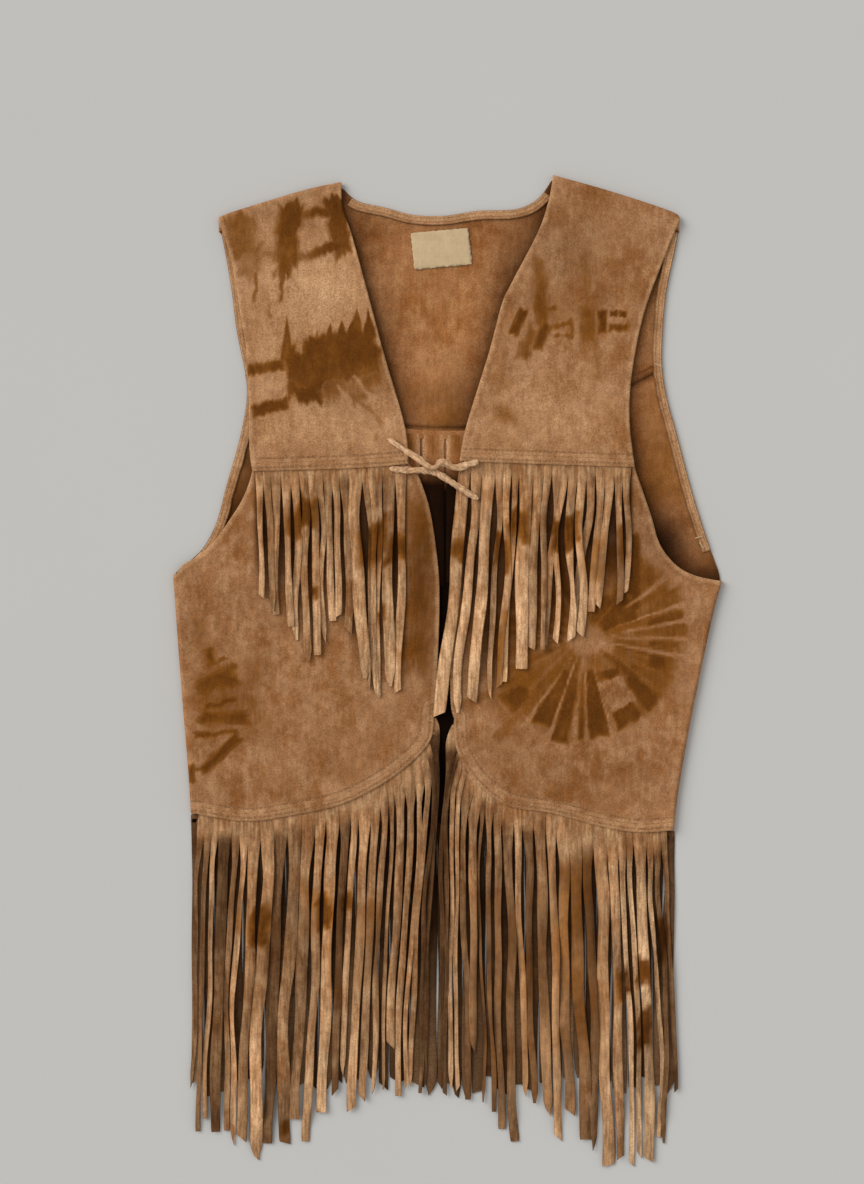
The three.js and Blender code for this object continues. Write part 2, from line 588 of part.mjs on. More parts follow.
// Hem fringe of the back, on the surface, next to the back's edge
function hemFringeBack() {
  const { gap, from, to, tip } = backFringe;
  const level = SEAM + STRIP / 2;
  const head = (x) => backHemAt(x) - SEAM;
  const line = [from, to].map((x) => new THREE.Vector2(x, head(x)));
  const strip = wall(band(line, 0, -LAP, () => level), STRIP);
  const strands = cuts(backFringe, 12).map(({ at, share }, i) => {
    const x = THREE.MathUtils.lerp(from, to, at);
    const tipX = x + 0.25 * uneven(i, 10);
    const controls = [
      new THREE.Vector2(x, head(x) - LAP / 2),
      new THREE.Vector2(x, head(x) - 80),
      new THREE.Vector2(tipX, head(x) - 150),
      new THREE.Vector2(tipX, tip + 9 * uneven(i, 11)),
    ];
    const width = share * (to - from) - gap;
    return strand(route(controls, evenly(3), () => level), width, STRAND);
  });
  return fuse([strip, ...strands]);
}

// Wide strips cut at the middle of the back, below the yoke seam
function stripsAtCentre() {
  const { count, width, from, pitch, bottom } = centreStrips;
  const middle = (i) => from + width / 2 + pitch * i;
  const head = (x) => backSeamAt(x, 3);
  const ends = [from, middle(count - 1) + width / 2];
  const line = Array.from({ length: 9 }, (_, i) => {
    const x = THREE.MathUtils.lerp(ends[0], ends[1], i / 8);
    return new THREE.Vector2(x, head(x));
  });
  const strip = wall(band(line, 0, -LAP, () => ON_BACK), STRIP);
  const strands = Array.from({ length: count }, (_, i) => {
    const x = middle(i);
    const points = [head(x) - LAP / 2, bottom + 6 * uneven(i, 13)]
      .map((y) => new THREE.Vector3(x, y, ON_BACK));
    return strand(points, width, STRAND);
  });
  return fuse([strip, ...strands]);
}

// A tie: a round lace along its route
function tie(stations) {
  const path = new THREE.CatmullRomCurve3(stations.map(({ x, y, z }) => new THREE.Vector3(x, y, z)));
  const section = new THREE.Shape();
  section.absarc(0, 0, LACE / 2, 0, 2 * Math.PI);
  const options = { extrudePath: path, steps: 20, curveSegments: 4, bevelEnabled: false };
  return new THREE.ExtrudeGeometry(section, options);
}

const back = backOutlines();
add('back_yoke', plate(back.yoke, 0, WALL), SUEDE_INSIDE);
add('back_body', plate(back.body, 0, WALL), SUEDE_INSIDE);
add('front_yoke_left', frontYoke('left'), SUEDE);
add('front_yoke_right', frontYoke('right'), SUEDE);
add('front_body_left', frontBody('left'), SUEDE);
add('front_body_right', frontBody('right'), SUEDE);
add('yoke_fringe_left', yokeFringe('left'), SUEDE_LIGHT);
add('yoke_fringe_right', yokeFringe('right'), SUEDE_LIGHT);
add('hem_fringe_left', hemFringe('left'), SUEDE_LIGHT);
add('hem_fringe_right', hemFringe('right'), SUEDE_LIGHT);
add('hem_fringe_back', hemFringeBack(), SUEDE_INSIDE);
add('centre_strips', stripsAtCentre(), SUEDE_INSIDE);
add('neck_hem', turnedHem(backNeck, 2, 28, -1), SUEDE_INSIDE);
add('armhole_hem_left', turnedHem(backArmholes.left, 1, 28, 1), SUEDE_INSIDE);
add('armhole_hem_right', turnedHem(backArmholes.right, 1, 28, -1), SUEDE_INSIDE);
add('label', plate(labelCorners.map(({ x, y }) => new THREE.Vector2(x, y)), WALL + SEAM, STRIP),
  LINEN, 0.8);
add('tie_left', tie(ties.left), SUEDE_LIGHT);
add('tie_right', tie(ties.right), SUEDE_LIGHT);

export default vest;
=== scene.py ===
"""Leather fringe vest, laid flat on its back: its looks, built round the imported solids.

Shapes are worked out in millimetres, +X to the viewer's right, +Y to the shoulders and +Z up
from the surface, as in the part's source. They go into the meshes in metres.
"""

import logging
import math
from collections.abc import Callable, Sequence
from dataclasses import dataclass, field
from enum import Enum
from functools import partial
from typing import Any

import bpy
import numpy as np
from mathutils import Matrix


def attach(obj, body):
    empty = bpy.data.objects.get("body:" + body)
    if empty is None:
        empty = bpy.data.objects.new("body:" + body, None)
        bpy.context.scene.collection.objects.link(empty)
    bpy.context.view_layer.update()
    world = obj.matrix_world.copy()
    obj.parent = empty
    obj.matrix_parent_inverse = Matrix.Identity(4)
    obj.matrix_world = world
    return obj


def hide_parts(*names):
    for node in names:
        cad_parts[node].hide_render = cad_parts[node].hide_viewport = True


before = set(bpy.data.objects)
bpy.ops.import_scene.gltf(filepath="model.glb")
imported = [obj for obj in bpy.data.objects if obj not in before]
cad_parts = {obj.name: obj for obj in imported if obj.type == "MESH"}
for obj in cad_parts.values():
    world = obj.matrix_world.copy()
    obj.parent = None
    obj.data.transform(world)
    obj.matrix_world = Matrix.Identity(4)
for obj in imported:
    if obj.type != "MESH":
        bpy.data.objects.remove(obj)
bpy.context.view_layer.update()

log = logging.getLogger("vest")

Array = np.ndarray
Rows = Sequence[tuple[float, ...]]
Height = Callable[[Array, Array], Array]

MM = 0.001
WALL = 1.4  # suede of the panels
STRIP = 1.0  # suede of fringe strips, turned hems and label
SEAM = 0.3  # gap between pieces that meet
FOLD = 2.6  # radius of the middle surface round a folded edge
TURN = 9.0  # width that goes on past a fold, to its seam
LAP = 7.0  # width of a fringe strip that is hidden under a panel's edge
REST = 4.4  # height of the fronts' middle surface
HEM_TURN = 7.0  # width of the turned hems
LACE = 3.8  # diameter of a tie
HEM_LINE = 4.6  # distance of a sewn line from its turned edge
STRAND = 0.9  # thickness of a strand
SETTLE = 14.0  # width over which a front comes down from its fold
PILE = 4.5  # height of the strands that bunch at the steep end of the hem
LONGEST_TIP = -424.0
DROOP_FROM = -376.0  # below the back's tips the front strands sink to the surface
ROW_INSETS = (2.6, 10.4)  # distance of each row of stitches from a sewn edge
UNSEWN = 99.0  # distance given where no sewn edge is near
RIM = 0.32  # how far a wall's rim bulges, as a share of its thickness
OUTSIDE_TONE = 2.9  # tone of the back's fringe where it faces the board
KNOT = (117.7, 28.7)  # middle of the burst of dye on the right body
BACK_HEM = ((-206, -123.5), (182, -137.3))  # ends of the back's lower edge
CELLS = (97, 89)  # size of the table that soft patches repeat after
FOLD_TOP = WALL / 2 + 2 * FOLD
ON_PANEL = WALL / 2 + SEAM + STRIP / 2
OVER_STRIP = WALL + 2 * SEAM + STRIP
ON_BACK = WALL + SEAM + STRIP / 2
SMOOTH = {"interpolation_type": "SMOOTHSTEP"}  # a node's range with level ends


class Side(Enum):
    """The viewer's left and right half of the garment, as the sign of X."""

    LEFT = -1
    RIGHT = 1

    @property
    def word(self) -> str:
        """The side's name, as the solids' names have it."""
        return self.name.lower()


class Slot(Enum):
    """The record's material slots."""

    OUTSIDE = "suede_outside"
    FRINGE = "suede_fringe"
    INSIDE = "suede_inside"
    LABEL = "label_linen"


class Held(Enum):
    """How a sheet is held."""

    LAID = "laid"


# Numbers along lines and over surfaces


def smoothstep(x: Array, low: float, high: float) -> Array:
    """Rises from 0 at low to 1 at high, with level ends: t squared times (3 - 2 t)."""
    t = np.clip((np.asarray(x, float) - low) / (high - low), 0, 1)
    return t * t * (3 - 2 * t)


def bell(x: Array, reach_x: Array | float, y: Array | float = 0.0, reach_y: float = 1.0) -> Array:
    """A soft hump from 0 to 1: e to the minus squared shares of its reaches."""
    return np.exp(-((x / reach_x) ** 2) - (y / reach_y) ** 2)


def unit(ways: Array) -> Array:
    """The same directions, each divided by its length."""
    return ways / np.linalg.norm(ways, axis=-1, keepdims=True)


def length_of(line: Array) -> float:
    """The sum of the steps between a line's points."""
    return float(np.linalg.norm(np.diff(line, axis=0), axis=1).sum())


def uneven(i: Array, kind: float) -> Array:
    """A repeatable number from -1 to 1 for the i-th of a kind: the fraction of a large sine."""
    value = np.sin(np.asarray(i) * 12.9898 + kind * 78.233) * 43758.5453
    return 2 * (value - np.floor(value)) - 1


def cloud(x: Array, y: Array, size_x: float, size_y: float, seed: int) -> Array:
    """Soft uneven patches from -1 to 1.

    Args:
        x: Places along X.
        y: Places along Y.
        size_x: Size of a patch along X.
        size_y: Size of a patch along Y.
        seed: Which patches.

    Returns:
        Random numbers at the corners of a grid, blended smoothly inside each of its cells.
    """
    table = np.random.default_rng(seed).uniform(-1, 1, CELLS)
    u, v = np.asarray(x) / size_x, np.asarray(y) / size_y
    i, j = np.floor(u).astype(int), np.floor(v).astype(int)
    s, t = smoothstep(u - i, 0, 1), smoothstep(v - j, 0, 1)

    def corner(a: int, b: int) -> Array:
        """The number at one corner of each place's cell."""
        return table[(i + a) % CELLS[0], (j + b) % CELLS[1]]

    low = corner(0, 0) * (1 - s) + corner(1, 0) * s
    high = corner(0, 1) * (1 - s) + corner(1, 1) * s
    return low * (1 - t) + high * t


def spaced(line: Array, at: Array) -> Array:
    """Points at shares of a line's length.

    Args:
        line: The line's points, one a row.
        at: Shares from 0 to 1.

    Returns:
        One point a row, straight between the line's own points.
    """
    steps = np.linalg.norm(np.diff(line, axis=0), axis=1)
    along = np.concatenate([[0], np.cumsum(steps)]) / steps.sum()
    return np.stack([np.interp(at, along, line[:, k]) for k in range(line.shape[1])], axis=-1)


def cubics(start: Array, end: Array, leaving: Array, arriving: Array, count: int) -> Array:
    """Points along a row of cubics, each with its own ends and slopes.

    Args:
        start: The first point of each.
        end: The last point of each.
        leaving: The slope at each start.
        arriving: The slope at each end.
        count: Points on each.

    Returns:
        The points in a row, and the last end.
    """
    t = np.linspace(0, 1, count, endpoint=False)[None, :, None]
    a, b, da, db = (q[:, None, :] for q in (start, end, leaving, arriving))
    line = (
        a * (2 * t**3 - 3 * t**2 + 1)
        + b * (3 * t**2 - 2 * t**3)
        + da * (t**3 - 2 * t**2 + t)
        + db * (t**3 - t**2)
    )
    return np.vstack([line.reshape(-1, start.shape[1]), end[-1:]])


def spline(rows: Rows, steps: int) -> Array:
    """Evenly spaced points along a smooth line through the rows.

    Args:
        rows: The points that the line goes through.
        steps: How many steps to take.

    Returns:
        steps + 1 points. Between two rows it is the cubic whose slope at a row is half the
        way from the row before to the row after.
    """
    p = np.array(rows, float)
    before, after = np.vstack([p[:1], p[:-1]]), np.vstack([p[1:], p[-1:]])
    slope = (after - before) / 2
    line = cubics(p[:-1], p[1:], slope[:-1], slope[1:], 48)
    return spaced(line, np.linspace(0, 1, steps + 1))


def lace_line(rows: Rows, steps: int) -> Array:
    """Evenly spaced points along a tie's route.

    Args:
        rows: The route's points.
        steps: How many steps to take.

    Returns:
        steps + 1 points on the smooth line whose pace between two rows is the square root of
        their distance, so that it makes no loops of its own.
    """
    p = np.array(rows, float)
    p = np.vstack([2 * p[:1] - p[1:2], p, 2 * p[-1:] - p[-2:-1]])
    a, b, c, d = p[:-3], p[1:-2], p[2:-1], p[3:]
    pace = [np.sqrt(np.linalg.norm(q - r, axis=1))[:, None] for q, r in ((b, a), (c, b), (d, c))]
    first = ((b - a) / pace[0] - (c - a) / (pace[0] + pace[1]) + (c - b) / pace[1]) * pace[1]
    last = ((c - b) / pace[1] - (d - b) / (pace[1] + pace[2]) + (d - c) / pace[2]) * pace[1]
    return spaced(cubics(b, c, first, last, 32), np.linspace(0, 1, steps + 1))


def edge_at(*lines: Array) -> Height:
    """X of an edge at a given Y, held beyond its ends.

    Args:
        lines: The edge's lines, from the top down.

    Returns:
        A function of Y.
    """
    points = np.vstack(lines)
    y = np.maximum.accumulate(-points[:, 1])
    return lambda at: np.interp(-np.asarray(at), y, points[:, 0])


def shifted(line: Array, away: float) -> Array:
    """A line's points moved to its left, seen along it.

    Args:
        line: The line's points.
        away: How far, in millimetres.

    Returns:
        The new points.
    """
    way = unit(np.gradient(line, axis=0))
    return line + away * np.stack([-way[:, 1], way[:, 0]], axis=1)


def distance(points: Array, line: Array) -> Array:
    """Distance from each point to a line, seen from above.

    Args:
        points: The points, X and Y in the last axis.
        line: The line's points.

    Returns:
        The smallest distance to the line's straight pieces.
    """
    flat = points.reshape(-1, points.shape[-1])[:, :2]
    best = np.full(len(flat), np.inf)
    for a, b in zip(line[:-1, :2], line[1:, :2], strict=True):
        d = b - a
        t = np.clip(((flat - a) @ d) / (d @ d), 0, 1)
        best = np.minimum(best, np.linalg.norm(flat - a - t[:, None] * d, axis=1))
    return best.reshape(points.shape[:-1])


def bezier(controls: Array, shares: Array) -> Array:
    """Points on many cubic curves at once.

    Args:
        controls: The four control points of each curve, (curve, 4, 2).
        shares: Places along each curve.

    Returns:
        (curve, share, 2): the control points weighted by the cubic's four terms.
    """
    s = shares[:, None]
    weights = np.concatenate([(1 - s) ** 3, 3 * s * (1 - s) ** 2, 3 * s**2 * (1 - s), s**3], axis=1)
    return np.einsum("sk,nkc->nsc", weights, controls)


def cuts(count: int, spread: float, kind: float, growth: float = 0.0) -> tuple[Array, Array]:
    """Uneven cuts along a strip, as in the part's source.

    Args:
        count: Number of strands.
        spread: How uneven their widths are.
        kind: The number of the kind.
        growth: How much wider they get along the strip.

    Returns:
        Each strand's middle and width, as shares of the strip's length.
    """
    number = np.arange(count)
    sizes = (1 + spread * uneven(number, kind)) * (1 + growth * number / count)
    share = sizes / sizes.sum()
    return np.cumsum(share) - share / 2, share


def between(table: Rows, at: Array, column: int) -> Array:
    """Values of a table's column at places along it, straight between its rows."""
    rows = np.array(table, float)
    return np.interp(at, rows[:, 0], rows[:, column])


# Creases and dye marks


@dataclass(frozen=True)
class Crease:
    """A soft ridge, or a trough where its height is negative, along a straight line."""

    start: tuple[float, float]
    end: tuple[float, float]
    width: float
    height: float

    def lift(self, x: Array, y: Array) -> Array:
        """Height of the crease over the surface.

        Args:
            x: Places along X.
            y: Places along Y.

        Returns:
            A bell across the line, times a half wave along it, so it fades out at its ends.
        """
        (ax, ay), (bx, by) = self.start, self.end
        length = math.hypot(bx - ax, by - ay)
        along = ((x - ax) * (bx - ax) + (y - ay) * (by - ay)) / length**2
        across = ((x - ax) * (by - ay) - (y - ay) * (bx - ax)) / length
        bend = 0.06 * length * np.sin(math.pi * np.clip(along, 0, 1))
        fade = np.sin(math.pi * np.clip(along, 0, 1)) ** 0.8
        return self.height * fade * bell(across - bend, self.width)


def soaked(dye: Array, strength: float, depth: Array, mask: Array) -> Array:
    """Dye after one more mark.

    Args:
        dye: Dye so far, from 0 to 1.
        strength: The mark's strength, negative where it is a pale window.
        depth: Its unevenness, about 1.
        mask: Where it is, from 0 to 1.

    Returns:
        The larger of the two, or less of it inside a window.
    """
    if strength < 0:
        return dye * (1 + strength * mask)
    return np.maximum(dye, strength * depth * mask)


@dataclass(frozen=True)
class Mark:
    """A block of dye, or a pale window in one where its strength is negative."""

    x: float
    y: float
    half_x: float
    half_y: float
    strength: float
    tilt: float = 0.0
    soft: float = 3.0
    bleed: float = 4.0

    def over(self, dye: Array, x: Array, y: Array, seed: int) -> Array:
        """Dye after this mark.

        Args:
            dye: Dye so far, from 0 to 1.
            x: Places along X.
            y: Places along Y.
            seed: Which streaks.

        Returns:
            Its new sum. The block's edge is a soft step of the distance from a rectangle,
            which streaks along the nap push about, and clouds make it uneven inside.
        """
        angle = math.radians(self.tilt)
        u = (x - self.x) * math.cos(angle) + (y - self.y) * math.sin(angle)
        v = (y - self.y) * math.cos(angle) - (x - self.x) * math.sin(angle)
        streak = 0.8 * cloud(u, v, 8.3, 34, seed) + 0.5 * cloud(u, v, 3.6, 21, seed + 1)
        streak = streak + 0.3 * cloud(u, v, 1.7, 13, seed + 6)
        v = v + self.bleed * streak
        u = u + 0.45 * self.bleed * cloud(u, v, 11, 8, seed + 2)
        a, b = np.abs(u) - self.half_x, np.abs(v) - self.half_y
        away = np.hypot(np.maximum(a, 0), np.maximum(b, 0)) + np.minimum(np.maximum(a, b), 0)
        away = away + 0.8 * cloud(u, v, 2.6, 7, seed + 3) + cloud(u, v, 1.4, 8, seed + 5)
        rim = 2.1 * min(self.soft, 0.5 * min(self.half_x, self.half_y))
        mask = 1 - smoothstep(away, -rim, rim)
        depth = 1 - 0.16 * (1 + cloud(u, v, 13, 17, seed + 4)) * (self.half_x > 6)
        return soaked(dye, self.strength, depth, mask)


@dataclass(frozen=True)
class Spoke:
    """A wedge of dye that ran out from a knot, as one ray of a burst."""

    turn: float
    inner: float
    outer: float
    spread: float
    strength: float
    x: float = KNOT[0]
    y: float = KNOT[1]
    soft: float = 1.5

    def over(self, dye: Array, x: Array, y: Array, seed: int) -> Array:
        """Dye after this spoke.

        Args:
            dye: Dye so far, from 0 to 1.
            x: Places along X.
            y: Places along Y.
            seed: Which streaks.

        Returns:
            Its new sum. The mask is a soft step of the distance from a wedge between two
            radii.
        """
        angle = math.radians(self.turn)
        along = (x - self.x) * math.cos(angle) + (y - self.y) * math.sin(angle)
        across = (y - self.y) * math.cos(angle) - (x - self.x) * math.sin(angle)
        along = along + 3 * cloud(across, along, 6.5, 40, seed)
        across = across + 0.7 * cloud(across, along, 9, 14, seed + 2)
        side = np.abs(across) - np.maximum(along, 0) * math.tan(math.radians(self.spread))
        side = side + 0.7 * cloud(across, along, 1.9, 17, seed + 4)
        end = np.maximum(self.inner - along, along - self.outer) / 2.6
        mask = 1 - smoothstep(np.maximum(side, end), -self.soft, self.soft)
        depth = 1 - 0.14 * (1 + cloud(across, along, 8, 21, seed + 3))
        return soaked(dye, self.strength, depth, mask)


@dataclass(frozen=True)
class Burst:
    """The lighter dye round a burst, in fine rays that all run out from one knot."""

    inner: float
    outer: float
    strength: float
    x: float = KNOT[0]
    y: float = KNOT[1]

    def over(self, dye: Array, x: Array, y: Array, seed: int) -> Array:
        """Dye after this burst.

        Args:
            dye: Dye so far, from 0 to 1.
            x: Places along X.
            y: Places along Y.
            seed: Which rays.

        Returns:
            The larger of the two. The mask is a ring with soft rims, and noise over the angle,
            nearly even along the radius, makes the rays.
        """
        away = np.hypot(x - self.x, y - self.y)
        turn = np.degrees(np.arctan2(y - self.y, x - self.x)) + 180
        ray = 0.6 * cloud(turn, away, 7.3, 38, seed) + 0.5 * cloud(turn, away, 3.1, 60, seed + 1)
        ring = smoothstep(away, self.inner - 5, self.inner + 7)
        ring = ring * (1 - smoothstep(away + 9 * ray, self.outer - 14, self.outer + 10))
        return np.maximum(dye, self.strength * ring * (1 + 0.5 * ray))


Dye = Mark | Spoke | Burst


@dataclass(frozen=True)
class Bloom:
    """A broad area that is lighter or darker, or rubbed paler, than the rest."""

    x: float
    y: float
    reach_x: float
    reach_y: float
    light: float
    pale: float = 0.0

    def at(self, x: Array, y: Array) -> Array:
        """The area's bell from 0 to 1: e to the minus squared share of its reach."""
        return bell(x - self.x, self.reach_x, y - self.y, self.reach_y)


def dyed(x: Array, y: Array, marks: Sequence[Dye], seed: int) -> Array:
    """Dye from 0 to 1 after all of a piece's marks, in their order.

    Args:
        x: Places along X.
        y: Places along Y.
        marks: The marks.
        seed: Which streaks.

    Returns:
        The dye.
    """
    dye = np.zeros(np.shape(x))
    for number, mark in enumerate(marks):
        dye = mark.over(dye, x, y, seed + 11 * number)
    return dye


# Outlines and marks of the two fronts


@dataclass(frozen=True)
class Cut:
    """One front's edges seen from above, from the outer to the inner end or from the top down."""

    side: Side
    shoulder: Rows
    yoke_armhole: Rows
    yoke_edge: Rows
    seam: Rows
    body_top: Rows
    body_armhole: Rows
    side_fold: Rows
    body_edge: Rows
    hem: Rows


LEFT = Cut(
    side=Side.LEFT,
    shoulder=((-195.6, 384.9), (-179.3, 390.9), (-122.8, 408), (-91.2, 414.9)),
    yoke_armhole=((-195.6, 384.9), (-185.3, 353.1), (-176.8, 304.3), (-170.8, 262.4),
                  (-169.1, 192.2), (-166.5, 170.8)),
    yoke_edge=((-91.2, 414.9), (-90.3, 395.9), (-82.6, 373.6), (-68.1, 320.6), (-54.4, 269.2),
               (-37.2, 210.1), (-33.8, 176.8)),
    seam=((-166.5, 170.8), (-82.6, 173.3), (-33.8, 176.8)),
    body_top=((-165, 181), (-82.6, 183.5), (-37, 187)),
    body_armhole=((-165, 181), (-168.2, 164.8), (-175.1, 146.8), (-186.2, 128.8),
                  (-200.7, 109.1), (-216.1, 96.3), (-227, 89.5), (-231.7, 82)),
    side_fold=((-231.7, 82), (-228.3, 34.7), (-224, -22.7), (-218.8, -85.2), (-216.5, -122)),
    body_edge=((-37, 187), (-33, 177), (-26, 168), (-17.5, 145.1), (-12.4, 120.3), (-8.1, 85.2),
               (-7.3, 57.8), (-8.1, 22.7), (-9.8, -12.4), (-11.6, -34.7)),
    hem=((-216.5, -122), (-172.5, -128.8), (-133.1, -123.7), (-91.2, -114.3), (-59.5, -98.9),
         (-33, -80), (-15, -59.5), (-11.6, -34.7)),
)
RIGHT = Cut(
    side=Side.RIGHT,
    shoulder=((198.2, 384.9), (188.7, 390.9), (136.5, 408), (90.3, 420.9)),
    yoke_armhole=((198.2, 384.9), (193.9, 375), (184.5, 352), (167.3, 304.3), (157.1, 252.1),
                  (155.4, 211.9), (159.6, 174.2)),
    yoke_edge=((90.3, 420.9), (86.9, 401.9), (77.5, 374.5), (54.4, 330), (46.7, 312.9),
               (35.5, 270.9), (16.7, 210.1), (10.7, 179.3)),
    seam=((159.6, 174.2), (80.9, 176.8), (10.7, 179.3)),
    body_top=((157, 184.5), (80.9, 187), (14, 189.5)),
    body_armhole=((157, 184.5), (161, 170), (167.5, 151.1), (174.2, 131.4), (179.5, 112.6),
                  (186.5, 99.7), (198.5, 87.5), (213, 80.5), (231.7, 76.5)),
    side_fold=((231.7, 76.5), (224, 48), (213.7, 0.4), (203.4, -50.9), (194.5, -102.3),
               (190.6, -136.5)),
    body_edge=((14, 189.5), (11, 176), (7.3, 146), (3.9, 94.6), (2.1, 26.1), (3, -25.3),
               (5.6, -40.7)),
    hem=((190.6, -136.5), (163.1, -138.2), (131.4, -133.1), (89.5, -122), (56.1, -116.8),
         (37.2, -106.6), (19.3, -88.6), (7.8, -66), (5.6, -40.7)),
)

# Broad creases of the fronts: a few soft ridges where the suede was folded in storage
CREASES = (
    Crease((-196, 40), (-96, -58), 17, 1.0),
    Crease((-60, 96), (-140, -96), 21, 0.7),
    Crease((-206, -24), (-120, 66), 13, 0.5),
    Crease((-30, 20), (-64, -82), 12, 0.7),
    Crease((-150, 352), (-104, 262), 12, 0.7),
    Crease((-74, 338), (-56, 236), 8, 0.6),
    Crease((-162, 300), (-92, 214), 14, 0.5),
    Crease((206, 36), (92, -66), 16, 0.9),
    Crease((30, 60), (96, -98), 18, 0.8),
    Crease((176, -8), (150, -118), 12, 0.6),
    Crease((42, -22), (24, -84), 9, 0.6),
    Crease((152, 362), (96, 262), 13, 0.7),
    Crease((66, 322), (128, 224), 12, 0.6),
    Crease((42, 296), (62, 232), 7, 0.7),
)


def lie(x: Array, y: Array) -> Array:
    """Height of the fronts' middle surface, suede on suede, as in the part's source, with its
    creases.

    Args:
        x: Places along X.
        y: Places along Y.

    Returns:
        Two slow waves round the resting height, plus each crease.
    """
    height = REST + 0.35 * np.sin(x / 31 + y / 47) + 0.25 * np.sin(x / 17 - y / 58 + 1.3)
    return height + sum(crease.lift(x, y) for crease in CREASES)


# Meshes


@dataclass
class Form:
    """Points in millimetres, faces, and numbers that the materials read at each point."""

    points: Array
    faces: list[list[int]]
    numbers: dict[str, Array] = field(default_factory=dict)

    def turned_out(self) -> "Form":
        """The same form with its faces outwards: if the signed volume is below 0, each face is
        read backwards."""
        corners = np.array([face[:3] for face in self.faces])
        others = [[f[0], f[k], f[k + 1]] for f in self.faces for k in range(2, len(f) - 1)]
        a, b, c = (self.points[np.vstack([corners, others])[:, k]] for k in range(3))
        if float((a * np.cross(b, c)).sum()) < 0:
            self.faces = [face[::-1] for face in self.faces]
        return self


def joined(forms: Sequence[Form]) -> Form:
    """Several forms as one.

    Args:
        forms: The forms, with the same names of numbers.

    Returns:
        One form whose points and faces are theirs in order.
    """
    starts = np.cumsum([0] + [len(form.points) for form in forms])
    faces = [
        [corner + int(start) for corner in face]
        for form, start in zip(forms, starts, strict=False)
        for face in form.faces
    ]
    names = forms[0].numbers
    numbers = {name: np.concatenate([form.numbers[name] for form in forms]) for name in names}
    return Form(np.vstack([form.points for form in forms]), faces, numbers)


def loft(rings: Array, numbers: dict[str, Array | float]) -> Form:
    """Closed tubes through rings of points.

    Args:
        rings: (tube, ring, point, 3).
        numbers: Numbers for each point, in the same order, or one for all of them.

    Returns:
        Quads between each ring and the next, and a face on each end.
    """
    n, m, k, _ = rings.shape
    index = np.arange(n * m * k).reshape(n, m, k)
    a, d = index[:, :-1], index[:, 1:]
    quads = np.stack([a, np.roll(a, -1, axis=2), np.roll(d, -1, axis=2), d], axis=-1)
    caps = np.concatenate([index[:, 0, ::-1], index[:, -1]])
    faces = quads.reshape(-1, 4).tolist() + caps.tolist()
    flat = {name: np.broadcast_to(v, (n, m, k)).ravel() for name, v in numbers.items()}
    return Form(rings.reshape(-1, 3), faces, flat).turned_out()


def shell(grid: Array, thickness: float, numbers: dict[str, Array | float],
          kept: Array | None = None, bare_rows: tuple[int, int] = (0, 0)) -> Form:
    """A closed wall of even thickness round a grid of middle points, with a rounded rim.

    Args:
        grid: (row, column, 3) middle points.
        thickness: The wall's thickness.
        numbers: Numbers for each middle point, or one for all of them.
        kept: Which middle points are there; all of them where it is None.
        bare_rows: (rows, columns): in that many first rows the first columns are missing.

    Returns:
        Points at half the thickness to each side along the surface's normal, which is the
        cross product of its slopes, and a middle line pushed out along the open edge.
    """
    def normals(part: Array) -> Array:
        """Unit normals of a grid."""
        n = np.cross(np.gradient(part, axis=1), np.gradient(part, axis=0))
        return n / np.maximum(np.linalg.norm(n, axis=-1, keepdims=True), 1e-9)

    rows, columns, _ = grid.shape
    kept = np.ones((rows, columns), bool) if kept is None else kept
    normal = normals(grid)
    if bare_rows[0]:
        normal[: bare_rows[0], bare_rows[1]:] = normals(grid[:, bare_rows[1]:])[: bare_rows[0]]
    count = int(kept.sum())
    index = np.full((rows, columns), -1)
    index[kept] = np.arange(count)
    middle, normal = grid[kept], normal[kept]
    cell = kept[:-1, :-1] & kept[1:, :-1] & kept[:-1, 1:] & kept[1:, 1:]
    corners = np.stack([index[:-1, :-1], index[:-1, 1:], index[1:, 1:], index[1:, :-1]], axis=-1)
    open_cells = np.pad(cell, 1)
    edges = []
    neighbours = {(-1, 0): (0, 1), (0, 1): (1, 2), (1, 0): (2, 3), (0, -1): (3, 0)}
    for (di, dj), (s, e) in neighbours.items():
        beyond = open_cells[1 + di: rows + di, 1 + dj: columns + dj]
        edges.append(corners[cell & ~beyond][:, [s, e]])
    edge = np.vstack(edges)
    out = np.cross(middle[edge[:, 1]] - middle[edge[:, 0]], normal[edge[:, 0]])
    push = np.zeros_like(middle)
    np.add.at(push, edge[:, 0], out)
    np.add.at(push, edge[:, 1], out)
    rim, number = np.unique(edge, return_inverse=True)
    number = number.reshape(edge.shape) + 2 * count
    push = push[rim] / np.maximum(np.linalg.norm(push[rim], axis=1, keepdims=True), 1e-9)
    bulge = middle[rim] + push * thickness * RIM
    quads = corners[cell]
    a, b = edge[:, 0], edge[:, 1]
    faces = np.vstack([
        quads,
        quads[:, ::-1] + count,
        np.stack([b, a, number[:, 0], number[:, 1]], axis=1),
        np.stack([number[:, 1], number[:, 0], a + count, b + count], axis=1),
    ])
    points = np.vstack([middle + normal * thickness / 2, middle - normal * thickness / 2, bulge])
    flat = {}
    for name, value in numbers.items():
        inside = np.broadcast_to(value, (rows, columns))[kept]
        flat[name] = np.concatenate([inside, inside, inside[rim]])
    return Form(points, faces.tolist(), flat).turned_out()


def band(line: Array, start: float, end: float, height: Height, columns: int) -> Array:
    """Grid of middle points over a band beside a line.

    Args:
        line: The line's points.
        start: Distance of its first edge to the line's left.
        end: Distance of its last edge.
        height: Height of the middle surface.
        columns: How many steps across.

    Returns:
        (point, column, 3): the line moved sideways by each distance, at its height.
    """
    across = np.linspace(start, end, columns + 1)
    flat = np.stack([shifted(line, away) for away in across], axis=1)
    return np.dstack([flat, height(flat[..., 0], flat[..., 1])])


